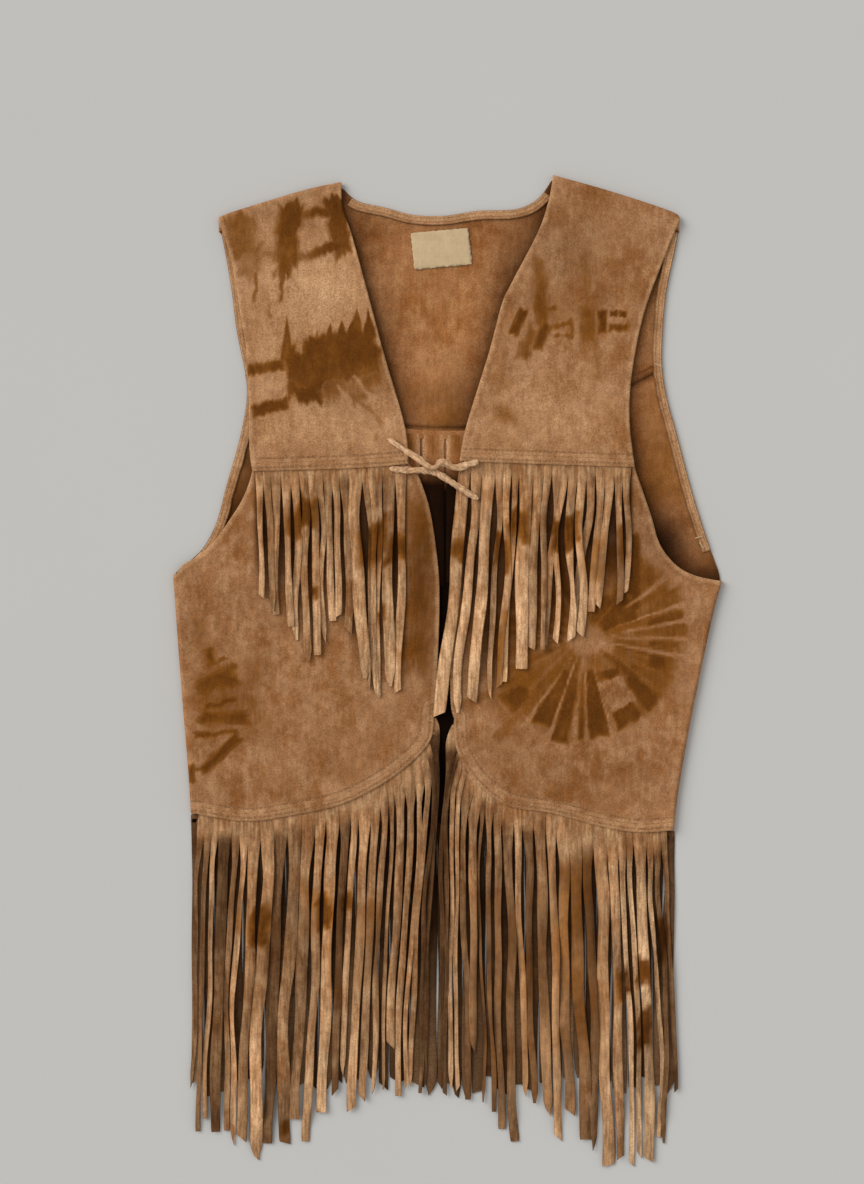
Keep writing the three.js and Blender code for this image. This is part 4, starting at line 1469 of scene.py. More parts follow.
@dataclass
class Strands:
    """Cut strands in a row, each its own flat strip that hangs, twists and curls a little."""

    route: Array
    width: Array
    seed: int
    root_width: Array
    open_from: float
    twist: float = 0.42
    wander: float = 1.4
    root_tone: Array | float = 0.98
    tip_tone: Array | float = 1.14
    uneven_tone: float = 0.2
    marks: Sequence[Dye] = ()
    lowest: float = 0.0
    shade: Array | float = 1.0
    drift: float = 0.0
    rubbed: float = 0.3
    cream: Array | float = 0.0
    under_tone: float | None = None

    def form(self) -> Form:
        """All strands at once.

        Returns:
            Rings of eight points: flat above and below, bowed across by the curl, and turned
            round the strand's line by its twist. Above its slit a strand is as wide as its
            place in the strip, then it narrows. Most ends are cut square, and some pointed.
            Where under_tone is given, the underside has that tone and no painted shade.
        """
        line = self.route.copy()
        n, m, _ = line.shape
        number = np.arange(n)[:, None]
        steps = np.linalg.norm(np.diff(line, axis=1), axis=2)
        along = np.concatenate([np.zeros((n, 1)), np.cumsum(steps, axis=1)], axis=1)
        share = along / along[:, -1:]
        slit = self.open_from * (1 + 0.6 * uneven(number, self.seed + 18))
        free = smoothstep(along, slit, slit + 50)
        phase = [math.pi * uneven(number, self.seed + k) for k in range(8)]
        sway = (np.sin(2 * math.pi * along / 236 + phase[0])
                + 0.35 * np.sin(2 * math.pi * along / 97 + phase[1]))
        line[..., 0] += self.wander * sway * free * (1 + 0.6 * uneven(number, self.seed + 9))
        line[..., 0] += self.drift * uneven(number, self.seed + 22) * share * free
        twisted = 0.5 + 0.45 * uneven(number, self.seed + 10)
        twisted = twisted + 0.9 * (uneven(number, self.seed + 19) > 0.66)
        waves = (np.sin(2 * math.pi * along / 190 + phase[3])
                 + 0.3 * np.sin(2 * math.pi * along / 83 + phase[4]))
        roll = self.twist * free * twisted * waves
        opened = smoothstep(along, slit - 3, slit + 9)
        widening = smoothstep(along, slit, slit + 28)
        slack = 1 + 0.08 * np.sin(2 * math.pi * along / 120 + phase[5]) * free
        cut = self.root_width[:, None] * (1 - widening) + self.width[:, None] * widening
        half = np.where(along < slit, self.root_width[:, None], cut * (1 - 0.08 * opened)) / 2 * slack
        left = along[:, -1:] - along
        pointed = uneven(number, self.seed + 11) > 0.35
        point = 0.08 + 0.5 * pointed
        half = half * (1 - point * (1 - smoothstep(left, 0, 3 + 9 * pointed)))
        way = unit(np.gradient(line, axis=1))
        flat = unit(np.stack([-way[..., 1], way[..., 0], np.zeros((n, m))], axis=-1))
        up = np.cross(way, flat)
        up *= np.sign(up[..., 2:3])
        side = flat * np.cos(roll)[..., None] + up * np.sin(roll)[..., None]
        face = up * np.cos(roll)[..., None] - flat * np.sin(roll)[..., None]
        across = np.array([-1.0, -0.86, 0.0, 0.86, 1.0, 0.86, 0.0, -0.86])
        thick = np.array([0.0, 1.0, 1.0, 1.0, 0.0, -1.0, -1.0, -1.0]) * STRAND / 2
        curl = 0.5 * free * uneven(number, self.seed + 13) + 0.25
        lift = np.abs(np.sin(roll)) * half * 0.85 + np.maximum(curl, 0) * 0.2
        line[..., 2] += lift
        bow = curl[..., None] * (across**2 - 0.5)
        slant = (1 - smoothstep(left, 0, 4)) * 3.4 * uneven(number, self.seed + 14) * (
            np.abs(uneven(number, self.seed + 14)) > 0.4)
        ring = (line[:, :, None]
                + side[:, :, None] * (half[..., None] * across)[..., None]
                + face[:, :, None] * (thick + bow * free[..., None])[..., None]
                + way[:, :, None] * (slant[..., None] * across)[..., None])
        ring[..., 2] = np.maximum(ring[..., 2], self.lowest)
        tone = (self.root_tone + (self.tip_tone - self.root_tone) * smoothstep(share, 0.05, 0.75))
        own = self.uneven_tone * uneven(number, self.seed + 15)
        own = own + 0.6 * self.uneven_tone * uneven(number, self.seed + 20) * (2 * share - 1)
        patches = cloud(along, number * 7.0 + along * 0, 41, 1, self.seed + 16)
        own = own + 0.5 * self.uneven_tone * patches
        tone = tone * (1 + own * opened) * (1 + (np.reshape(self.shade, (-1, 1)) - 1) * opened)
        # Painted shade: the underside and cut edges darker, the right edge most, as the light comes from
        # the left; and painted light and shade across each strand's face, lighter on one side and darker
        # on the other, as if turned to the light.
        edges = np.array([0.5, 0.98, 1.04, 0.97, 0.36, 0.4, 0.4, 0.4])
        painted_side_light = 0.16 * uneven(number, self.seed + 24)[..., None] * across * (thick > 0)
        tone = tone[..., None] * (1 + (edges - 1 + painted_side_light) * opened[..., None])
        if self.under_tone is not None:
            tone = np.where(thick < 0, self.under_tone * (1 + own[..., None]), tone)
        x, y = ring[..., 0], ring[..., 1]
        shift = 7 * uneven(number, self.seed + 17)[..., None]
        dye = dyed(x, y + shift, self.marks, self.seed + 300)
        rub = np.zeros((n, m, 8)) + self.rubbed * smoothstep(share, 0.35, 0.9)[..., None] * (
            uneven(number, self.seed + 21)[..., None] > -0.3)
        cream = np.reshape(self.cream, (-1, 1)) * smoothstep(share, 0.04, 0.25) * (
            0.75 + 0.35 * cloud(along, number * 5.0 + along * 0, 23, 1, self.seed + 25))
        rub = np.maximum(rub, cream[..., None]) * (1 - smoothstep(dye, 0.3, 0.7))
        return loft(ring, {"dye": dye, "tone": tone, "rub": rub, "edge": UNSEWN})


def strip_form(line: Array, start: float, end: float, height: Height, tone: Array | float) -> Form:
    """The narrow strip that a fringe is cut from.

    Args:
        line: The seam.
        start: Distance of its first edge to the seam's left.
        end: Distance of its last edge.
        height: Height of its middle surface.
        tone: How light it is.

    Returns:
        A closed band.
    """
    grid = band(line, start, end, height, 5)
    return shell(grid, STRIP, {"dye": 0.0, "tone": tone, "rub": 0.0, "edge": UNSEWN})


@dataclass
class YokeFringe(Dressed):
    """The fringe under a front yoke."""

    cut: Cut
    count: int
    growth: float
    rows: Rows
    marks: Sequence[Dye]
    seed: int
    spread: float = 0.4
    inset: float = 0.018
    inner: float = 1.0

    def build(self) -> None:
        """Makes the strip and its strands in one piece."""
        side, number = self.cut.side.value, np.arange(self.count)
        seam = spline(self.cut.seam, 400)
        at, share = cuts(self.count, self.spread, 14, self.growth)
        cut_share = 1 - 2 * self.inset
        root = spaced(seam, self.inset + cut_share * at)
        pitch = share * cut_share * length_of(seam)
        length = between(self.rows, at, 1) + 5 * uneven(number, 1)
        lean = between(self.rows, at, 2) + 0.4 * uneven(number, 2)
        bow = 2.0 * uneven(number, 3) + between(self.rows, at, 3)
        lift = 0.5 + 0.4 * uneven(number, 4)
        x, y = root[:, 0], root[:, 1]
        controls = np.moveaxis(np.array([
            [x, y + LAP / 2],
            [x + 0.3 * lean + bow, y - 0.3 * length],
            [x + 0.7 * lean - 0.4 * bow, y - 0.7 * length],
            [x + lean, y - length],
        ]), 2, 0)
        shares = np.concatenate([np.linspace(0, 0.2, 9)[:-1], np.linspace(0.2, 0.93, 31)[:-1],
                                 np.linspace(0.93, 1, 6)])
        flat = bezier(controls, shares)
        rise = lift[:, None] * shares + 0.3 * np.minimum(1, 4 * shares)
        turn = (number % 2)[:, None] * (0.1 + 0.8 * smoothstep(shares, 0.1, 0.3))
        z = lie(flat[..., 0], flat[..., 1]) + ON_PANEL + rise + turn
        width = pitch * 0.92 * (1 + 0.16 * uneven(number, 33))
        width[np.abs(x).argmin()] *= self.inner
        strands = Strands(np.dstack([flat, z]), width, self.seed, pitch + 0.9, 10,
                          twist=0.5, wander=2.1, root_tone=1.0, tip_tone=1.13, uneven_tone=0.26,
                          marks=self.marks, drift=4.0, rubbed=0.36)
        strip = strip_form(spaced(seam, np.linspace(self.inset, 1 - self.inset, 60)), -side * 0.6,
                           -side * LAP, lambda a, b: lie(a, b) + ON_PANEL, 0.98)
        name = f"yoke_fringe_{self.cut.side.word}"
        make_piece(f"{name}_strands", joined([strip, strands.form()]), self.finishes.fringe,
                   [name], sharp=50)


@dataclass
class HemFringe(Dressed):
    """The fringe under a front body, which follows the hem's curve."""

    cut: Cut
    rows: Rows
    marks: Sequence[Dye]
    seed: int
    count: int = 25
    spread: float = 0.42
    inset: float = 0.014
    gap: float = 1.3
    bunch: float = 0.74
    short_by: float = 36.0
    narrowest: float = 2.4
    cream: float = 0.0
    cream_at: float = 161.0
    tip_tone: float = 1.04

    def build(self) -> None:
        """Makes the strip and its strands in one piece."""
        side, number = self.cut.side.value, np.arange(self.count)
        hem = spline(self.cut.hem, 400)
        at, share = cuts(self.count, self.spread, 5)
        cut_share = 1 - 2 * self.inset
        place = self.inset + cut_share * at
        root = spaced(hem, place)
        way = unit(spaced(hem, place + 0.004) - spaced(hem, place - 0.004))
        out = -side * np.stack([way[:, 1], -way[:, 0]], axis=1)
        steep = smoothstep(at, self.bunch - 0.08, 1)
        tip_x = between(self.rows, at, 1) + 0.35 * uneven(number, 6) * (1 - steep)
        short = self.short_by * (1 - steep) * (uneven(number, 9) > 0.25)
        tip_y = np.maximum(LONGEST_TIP, between(self.rows, at, 2) + 9 * uneven(number, 7) + short)
        drop = root[:, 1] - tip_y
        sway = 0.35 * uneven(number, 8) * (1 - steep)
        ends = np.stack([at - share / 2, at + share / 2])
        tip_room = np.abs(np.diff(between(self.rows, ends, 1), axis=0))[0]
        root_x = [spaced(hem, self.inset + cut_share * end)[:, 0] for end in ends]
        root_room = np.abs(root_x[1] - root_x[0])
        room = np.minimum(tip_room, root_room) * (1 - steep) + tip_room * steep
        width = np.maximum(self.narrowest, room - self.gap * (1 - 0.4 * steep))
        start = (14 - 3 * steep)[:, None]
        controls = np.stack([
            root - out * LAP / 2,
            root + out * start - np.stack([0 * drop, 0.06 * drop], axis=1),
            np.stack([tip_x + sway, root[:, 1] - 0.55 * drop], axis=1),
            np.stack([tip_x, tip_y], axis=1),
        ], axis=1)
        shares = np.concatenate([np.linspace(0, 0.3, 13)[:-1], np.linspace(0.3, 0.95, 45)[:-1],
                                 np.linspace(0.95, 1, 6)])
        flat = bezier(controls, shares)
        head = (lie(root[:, 0], root[:, 1]) - ON_PANEL)[:, None]
        pile = PILE * steep[:, None] * (1 - smoothstep(shares, 0.55, 0.9))
        clear = smoothstep(shares, 0.1, 0.27)
        turn = (number % 2)[:, None] * (0.1 + 0.6 * smoothstep(shares, 0.2, 0.4))
        lying = head * (1 - clear) + (ON_BACK + 0.1 + pile) * clear + turn
        sunk = smoothstep(DROOP_FROM - flat[..., 1], 0, 18)
        z = lying * (1 - sunk) + sunk
        pitch = share * length_of(hem)
        shade = 1 - 0.74 * steep + 0.7 * (uneven(number, 31) > 0.45) * steep
        shade = shade * (1 - 0.42 * (uneven(number, 32) > 0.45) * (1 - steep))
        cream = self.cream * np.exp(-(((root[:, 0] - self.cream_at) / 15) ** 4))
        shade = shade * (1 - 0.16 * bell(root[:, 0] - 5, 42))
        shade = np.maximum(shade, np.minimum(cream, 1.18))
        strands = Strands(np.dstack([flat, z]), width * (1.02 + 0.1 * uneven(number, 34)), self.seed,
                          pitch + 0.9, 13, twist=0.55, wander=1.3, tip_tone=self.tip_tone,
                          uneven_tone=0.34, rubbed=0.24,
                          marks=self.marks, lowest=0.15, shade=shade, drift=1.6, cream=cream)
        strip = strip_form(spaced(hem, np.linspace(self.inset, 1 - self.inset, 90)), -side * 0.6,
                           -side * LAP, lambda a, b: lie(a, b) - ON_PANEL, 0.98)
        name = f"hem_fringe_{self.cut.side.word}"
        make_piece(f"{name}_strands", joined([strip, strands.form()]), self.finishes.fringe,
                   [name], sharp=50)


def lit_below(form: Form, height: float, tone: float) -> Form:
    """The form with a plain, cloudy outside, where it faces the board.

    Args:
        form: A wall or strip of the back.
        height: Points under it are on the outside.
        tone: The outside's tone.

    Returns:
        The same form, without dye and shade on its outside.
    """
    x, y, z = form.points.T
    cloudy = tone * (1 + 0.1 * cloud(x, y, 70, 60, 911) + 0.08 * cloud(x, y, 22, 18, 912))
    form.numbers["tone"] = np.where(z < height, cloudy, form.numbers["tone"])
    form.numbers["dye"] = np.where(z < height, 0.0, form.numbers["dye"])
    return form


@dataclass
class BackFringe(Dressed):
    """The back's own hem fringe, flat on the board under the fronts' strands, with painted shade on its
    upper face.
    """

    count: int = 40
    spread: float = 0.25
    gap: float = 0.9
    start: float = -219.5
    end: float = 194.5
    tip: float = -356
    seed: int = 700

    def head(self, x: Array) -> Array:
        """Y of the back's lower edge less the seam's gap."""
        (ax, ay), (bx, by) = BACK_HEM
        return ay + (by - ay) * (x - ax) / (bx - ax) - SEAM

    def near_end(self, x: Array) -> Array:
        """From 1 at the strip's ends to 0 inside: e to the minus distance over 7 mm."""
        return np.exp(-np.minimum(x - self.start, self.end - x) / 7)[:, None]

    def build(self) -> None:
        """Makes the strip and its strands in one piece."""
        number = np.arange(self.count)
        at, share = cuts(self.count, self.spread, 12)
        x = self.start + (self.end - self.start) * at
        top, tip_x = self.head(x), x + 0.25 * uneven(number, 10)
        controls = np.moveaxis(np.array([
            [x, top - LAP / 2],
            [x, top - 80],
            [tip_x, top - 150],
            [tip_x, self.tip + 9 * uneven(number, 11)],
        ]), 2, 0)
        flat = bezier(controls, np.linspace(0, 1, 26))
        level = SEAM + STRIP / 2
        route = np.dstack([flat, np.full(flat.shape[:2], level)])
        width = (share * (self.end - self.start) - self.gap / 3) * 1.05
        outer = self.near_end(x)
        # Painted shade: the strands are darkest at their roots under the fronts' hem, lighter at their
        # tips and near the strip's ends; their undersides keep the plain outside tone.
        strands = Strands(route, width, self.seed, width + 0.3, 5, twist=0.06, wander=0.4,
                          root_tone=0.2 + 1.2 * outer, tip_tone=0.55 + outer, uneven_tone=0.4,
                          lowest=0.12, under_tone=OUTSIDE_TONE)
        ends = np.array([self.start, self.end])
        line = spaced(np.stack([ends, self.head(ends)], axis=1), np.linspace(0, 1, 80))
        # Painted shade along the strip, lifted near its ends, where the fronts don't cover it.
        light = 0.22 + 1.5 * self.near_end(line[:, 0])
        strip = strip_form(line, 0, -LAP, level_at(level), light)
        strip = lit_below(strip, level - 0.3 * STRIP, OUTSIDE_TONE)
        make_piece("hem_fringe_back_strands", joined([strip, strands.form()]), self.finishes.behind,
                   ["hem_fringe_back"], sharp=50)


# Back


@dataclass
class Back(Dressed):
    """The back: yoke and body in one plane, their turned hems, the strips at the middle and the
    label, all seen from inside."""

    neck: Rows = ((-90.8, 413.5), (-77.5, 401.9), (-52.6, 395.9), (-29.5, 389.9), (-3, 389.1),
                  (26.1, 393.3), (54.4, 394.2), (69.8, 398.5), (80.9, 407), (90, 420.5))
    armhole_left: Rows = ((-195.6, 385), (-190, 358), (-184.5, 325.7), (-180.2, 291.5),
                          (-172.5, 253), (-171.6, 231.6), (-175.1, 209.3), (-181, 185.3),
                          (-188.8, 158.8), (-197, 128), (-208, 106), (-221, 93), (-232, 84))
    armhole_right: Rows = ((198.2, 385), (195.6, 366), (187, 324), (183.6, 285), (183.6, 258),
                           (187.9, 231.6), (195.6, 203.3), (207.6, 157.9), (216, 130),
                           (224, 106), (232, 84))
    seam_centre: float = 208.0
    seam_ends: float = 255.0
    seam_reach: float = 178.0
    label: Rows = ((-31.2, 374.5), (-28.2, 343.3), (21, 348), (17.5, 378.8))
    label_flat: tuple[float, float] = (0.0495, 0.0312)
    thread_ends: tuple[Rows, ...] = (((178.5, 262.5), (183, 260.5)), ((212.5, 113.5), (218, 114.5)),
                                     ((216, 109.5), (219.5, 104.5)))
    strip_count: int = 3
    strip_width: float = 18.5
    strip_from: float = -42.0
    strip_pitch: float = 20.5
    strip_bottom: float = 70.0
    yoke_flat: tuple[float, float, float] = (0.394, 0.215, 0.0560)
    body_flat: tuple[float, float, float] = (0.468, 0.394, 0.1430)
    seed: int = 900

    def seam_at(self, x: Array, below: float) -> Array:
        """Y of the seam between yoke and body, a parabola, less a distance."""
        bend = (np.asarray(x) / self.seam_reach) ** 2
        return self.seam_centre + (self.seam_ends - self.seam_centre) * bend - below

    def arch(self, points: Array) -> Array:
        """The points with a little height, so that the back isn't a ruled plate.

        Args:
            points: Seen from above, at rest on the board.

        Returns:
            The same points, with the middle surface up to 0.3 mm over half the wall.
        """
        x, y = points[..., 0], points[..., 1]
        z = WALL / 2 + 0.14 * (1 + cloud(x, y, 31, 43, self.seed))
        return np.dstack([x, y, z])

    def numbers(self, grid: Array, gloom: Array) -> dict[str, Array | float]:
        """Numbers for the back's finish.

        Args:
            grid: Its middle points.
            gloom: How deep each point lies in the painted shade of the gap between the fronts, from 0 to
                1.

        Returns:
            Dye, tone, rub and distance from an edge.
        """
        x, y = grid[..., 0], grid[..., 1]
        seam = np.abs(y - self.seam_at(x, 0))
        tone = 1.03 + 0.1 * cloud(x, y, 70, 60, self.seed + 1) + 0.1 * cloud(x, y, 22, 18, self.seed + 2)
        tone = tone + 0.1 * bell(x - 25, 55, y - 300, 60)
        tone = tone - 0.26 * smoothstep(y, 300, 390)
        side = smoothstep(np.abs(x), 140, 172)
        tone = tone * (1 - (0.5 + 0.25 * side) * bell(seam, 2.1 + 1.5 * side))
        turned = np.abs(seam - 6.5) * (y > self.seam_at(x, 0)) + 9 * (y <= self.seam_at(x, 0))
        # Painted shade: the tone falls to nearly black where gloom is high.
        tone = tone * (1 - 0.55 * side * bell(turned, 1.5)) * (1 - 0.985 * gloom)
        # Painted shade: darker beside the fronts' neck and armhole edges, as in the fronts' shadow, and
        # nearly black in the hollow under each armhole.
        for cut in (LEFT, RIGHT):
            neck = distance(grid, spline(cut.yoke_edge, 40))
            armhole = np.minimum(distance(grid, spline(cut.yoke_armhole, 40)),
                                 distance(grid, spline(cut.body_armhole, 40)))
            low = smoothstep(y, 170, 96)
            foot_x, foot_y = cut.body_armhole[5]
            foot = bell(x - foot_x, 24, y - foot_y - 10, 27)
            tone = tone * (1 - 0.5 * bell(neck, 18)) * (1 - 0.3 * bell(neck, 5))
            tone = tone * (1 - (0.58 + 0.2 * low) * bell(armhole, 12 + 6 * low))
            tone = tone * (1 - 0.82 * foot)
        warm = 0.36 * bell(x + 8, 46, y - 236, 34)
        patches = 0.3 * (1 + cloud(x, y, 26, 31, self.seed + 3))
        warm = np.maximum(warm, patches * smoothstep(270 - y, 0, 60))
        return {"dye": warm, "tone": tone, "rub": 0.06, "edge": UNSEWN}

    def panel(self, name: str, grid: Array, gloom: Array) -> bpy.types.Object:
        """A panel of the back.

        Args:
            name: The solid's name.
            grid: Its middle points.
            gloom: How deep each point lies in the painted shade of the gap between the fronts, from 0 to
                1.

        Returns:
            The piece, with a plain outside.
        """
        form = lit_below(shell(grid, WALL, self.numbers(grid, gloom)), WALL / 2, 1.0)
        return make_piece(f"{name}_suede", form, self.finishes.inside, [name])

    def yoke(self) -> bpy.types.Object:
        """The back yoke, filled in between its seam, armholes, shoulders and neck.

        Returns:
            The piece.
        """
        inset = TURN + SEAM
        shoulders = [spline(cut.shoulder, 24) - [0, inset] for cut in (LEFT, RIGHT)]
        neck = spline(self.neck, 72)
        top = np.vstack([shoulders[0], neck, shoulders[1][::-1]])
        sides = []
        for rows, start in ((self.armhole_left, shoulders[0][0]), (self.armhole_right, shoulders[1][0])):
            line = spline(rows, 200)
            line = line[(line[:, 1] < start[1] - 1) & (line[:, 1] > self.seam_at(line[:, 0], 0) + 1)]
            x = float(edge_at(spline(rows, 200))(self.seam_ends))
            end = [x, float(self.seam_at(x, 0))]
            sides.append(spaced(np.vstack([start, line, end]), np.linspace(0, 1, 64)))
        x = np.linspace(sides[0][-1, 0], sides[1][-1, 0], len(top))
        bottom = np.stack([x, self.seam_at(x, 0)], axis=1)
        grid = self.arch(coons(top, bottom, *sides))
        return self.panel("back_yoke", grid, np.zeros(grid.shape[:2]))

    def body(self) -> bpy.types.Object:
        """The back body, filled in between its seam, armholes, side seams and hem.

        Returns:
            The piece.
        """
        inset, tab = TURN + SEAM, FOLD - WALL / 2 - SEAM
        sides = []
        for cut, rows in ((LEFT, self.armhole_left), (RIGHT, self.armhole_right)):
            sign = cut.side.value
            line = spline(rows, 200)
            x = float(edge_at(line)(self.seam_ends))
            start = [x, float(self.seam_at(x, SEAM))]
            pit_x, pit_y = cut.side_fold[0]
            line = line[(line[:, 1] < self.seam_at(line[:, 0], SEAM) - 1) & (line[:, 1] > pit_y + 2)]
            pit = [[pit_x + sign * tab, pit_y + SEAM], [pit_x - sign * inset, pit_y + SEAM]]
            down = spline(cut.side_fold, 60) - [sign * inset, 0]
            foot = BACK_HEM[0 if cut.side is Side.LEFT else 1][1]
            down = down[1:][down[1:, 1] > foot + 3]
            corner = [float(edge_at(spline(cut.side_fold, 200))(foot)) - sign * inset, foot]
            upper = spaced(np.vstack([start, line, pit[0]]), np.linspace(0, 1, 62))
            lower = spaced(np.vstack([pit[1], down, corner]), np.linspace(0, 1, 66))
            sides.append(np.vstack([upper, lower]))
        columns = 130
        x = np.linspace(sides[0][0, 0], sides[1][0, 0], columns)
        top = np.stack([x, self.seam_at(x, SEAM)], axis=1)
        bottom = spaced(np.stack([sides[0][-1], sides[1][-1]]), np.linspace(0, 1, columns))
        grid = self.arch(coons(top, bottom, *sides))
        # Painted shade: nearly black where the back shows deep between the fronts, below the tie.
        depth = smoothstep(178 - grid[..., 1], 0, 26) * np.exp(-(((grid[..., 0] + 6) / 60) ** 4))
        return self.panel("back_body", grid, depth)

    def turned_hem(self, name: str, rows: Rows, first: float, last: float,
                   side: int) -> bpy.types.Object:
        """A turned hem on the inside of the back.

        Args:
            name: The solid's name.
            rows: The edge's table.
            first: Share of the edge where it starts.
            last: Share where it ends.
            side: 1 where it lies to the line's left, and -1 to its right.

        Returns:
            The piece: an uneven band, highest along the garment's edge, with two stitched
            grooves and a painted shadow along its inner edge.
        """
        line = spaced(spline(rows, 400), np.linspace(first, last, 150))
        grid = band(line, side * SEAM, side * (SEAM + HEM_TURN), level_at(ON_BACK), 20)
        share = np.linspace(0, 1, 21)[None, :]
        x, y = grid[..., 0], grid[..., 1]
        wave = 0.25 * (1 + cloud(x, y, 9, 9, self.seed + 5))
        grid[..., 2] += 0.3 * np.exp(-share * 6) + wave * share
        shift = 0.35 * cloud(x, y, 7, 7, self.seed + 6) * share
        grid[..., 0] += shift
        # Painted shadow along the hem's inner edge; the two grooves are its stitching.
        tone = 0.99 - 0.6 * smoothstep(share, 0.84, 1.0) + 0.08 * cloud(x, y, 14, 14, self.seed + 7)
        for groove in (0.2, 0.65):
            tone = tone * (1 - 0.32 * bell(share - groove, 0.06))
        rub = 0.6 - 0.35 * smoothstep(share, 0.2, 0.8) + 0.14 * cloud(x, y, 9, 9, self.seed + 8)
        form = shell(grid, STRIP, {"dye": 0.0, "tone": tone, "rub": rub, "edge": UNSEWN})
        return make_piece(f"{name}_suede", form, self.finishes.outside, [name])

    def centre_strips(self) -> bpy.types.Object:
        """The wide strips below the yoke's seam, with painted shade, nearly black, where they go down
        into the garment.

        Returns:
            The piece.
        """
        number = np.arange(self.strip_count)
        x = self.strip_from + self.strip_width / 2 + self.strip_pitch * number
        share = np.linspace(0, 1, 40)
        top = self.seam_at(x, 3) - LAP / 2
        y = top[:, None] + (self.strip_bottom + 6 * uneven(number, 13) - top)[:, None] * share
        across = np.array([-1.0, -0.94, -0.5, 0.0, 0.5, 0.94, 1.0, 0.94, 0.5, 0.0, -0.5, -0.94])
        thick = np.array([0, 1, 1, 1, 1, 1, 0, -1, -1, -1, -1, -1]) * STRAND / 2
        half = self.strip_width / 2 + 0.3 * cloud(y, y * 0, 21, 1, self.seed + 8)
        ring_x = x[:, None, None] + half[..., None] * across
        ring_y = np.broadcast_to(y[..., None], ring_x.shape)
        swell = 0.25 * (1 - across**2)
        ring_z = np.broadcast_to(ON_BACK + thick + swell, ring_x.shape)
        # Painted shade: the strips go nearly black below the tie, and lose their rubbed edges there.
        gloom = smoothstep(180 - ring_y, 0, 22)
        tone = (1.0 + 0.1 * uneven(number, 44)[:, None, None]) * (1 - 0.97 * gloom)
        rub = 0.75 * (np.abs(across) > 0.9) * (1 - gloom)
        warm = 0.42 * smoothstep(ring_y, 172, 190) * bell(across, 0.8)
        strands = loft(np.stack([ring_x, ring_y, ring_z], axis=-1),
                       {"dye": warm, "tone": tone, "rub": rub, "edge": UNSEWN})
        ends = np.linspace(self.strip_from, float(x[-1]) + self.strip_width / 2, 40)
        line = np.stack([ends, self.seam_at(ends, 3)], axis=1)
        strip = strip_form(line, 0, -LAP, level_at(ON_BACK), 0.95)
        return make_piece("centre_strips_suede", joined([strip, strands]), self.finishes.inside,
                          ["centre_strips"], sharp=50)

    def label_piece(self) -> bpy.types.Object:
        """The blank label, with an uneven edge and a whipped seam round it.

        Returns:
            The piece.
        """
        corners = np.array(self.label)
        sides = ((0, 3, 64), (1, 2, 64), (0, 1, 44), (3, 2, 44))
        flat = coons(*[np.linspace(corners[a], corners[b], count) for a, b, count in sides])
        x, y = flat[..., 0], flat[..., 1]
        away = distance(flat, np.vstack([corners, corners[:1]]))
        rim = np.exp(-away / 0.9)
        flat[..., 0] += 0.35 * rim * cloud(x, y, 1.5, 1.5, self.seed + 9)
        flat[..., 1] += 0.35 * rim * cloud(x, y, 1.5, 1.5, self.seed + 10)
        z = ON_BACK + 0.2 + 0.16 * cloud(x, y, 12, 9, self.seed + 11) + 0.2 * (1 - rim)
        whipped = distance(flat, corners[1:4])
        tone = 1 - 0.5 * bell(whipped, 1.1) * (cloud(x, y, 1.6, 1.6, self.seed + 12) > -0.2)
        form = shell(np.dstack([flat, z]), STRIP * 0.8, {"tone": tone})
        return make_piece("label_linen", form, self.finishes.label, ["label"])

    def build(self) -> None:
        yoke, body = self.yoke(), self.body()
        hems = [
            self.turned_hem("neck_hem", self.neck, 2 / 30, 28 / 30, -1),
            self.turned_hem("armhole_hem_left", self.armhole_left, 1 / 30, 28 / 30, 1),
            self.turned_hem("armhole_hem_right", self.armhole_right, 1 / 30, 28 / 30, -1),
        ]
        strips = self.centre_strips()
        label = self.label_piece()
        frayed = Sewing(stitch_mm=4.2, pitch_mm=3.2, thread_mm=0.8)
        ends = joined([frayed.row(np.array(line), np.array([[*line[0], ON_BACK + 1.3]] * 4), 3)
                       for line in self.thread_ends])
        loose = make_piece("armhole_thread_ends", ends, self.finishes.label)


# Length, lean and bow of the yoke fringes' strands at places along the seam
LEFT_LENGTHS = (
    (0, 108, 5, 0), (0.16, 126, 6, 0), (0.33, 164, 4, 0), (0.42, 148, 4, 1), (0.5, 122, 5, 1),
    (0.57, 130, 4, 0), (0.63, 174, 4, 0), (0.78, 196, 3, 1), (0.88, 190, 1, 2), (1, 197, -2, 3),
)
RIGHT_LENGTHS = (
    (0, 109, -3, 0), (0.08, 115, -7, 0), (0.16, 122, -8, 0), (0.25, 138, -8, -1),
    (0.4, 152, -7, 0), (0.55, 163, -8, 0), (0.7, 189, -10, -1), (0.8, 200, -12, -2),
    (0.9, 215, -16, -3), (1, 221, -22, -5),
)

# Paler and darker areas of the fronts
LEFT_BLOOMS = (
    Bloom(-120, 310, 90, 110, 0.06, 0.3),
    Bloom(-96, 205, 80, 34, 0.07, 0.24),
    Bloom(-112, 326, 36, 26, 0.06, 0.44),
    Bloom(-22, 76, 15, 80, -0.4),
)
RIGHT_BLOOMS = (
    Bloom(82, 218, 80, 46, 0.1, 0.26),
    Bloom(110, 372, 70, 40, -0.11, 0.04),
    Bloom(96, 362, 32, 20, -0.13, 0.14),
    Bloom(104, -112, 90, 22, -0.03),
    Bloom(156, 116, 60, 34, -0.16),
)
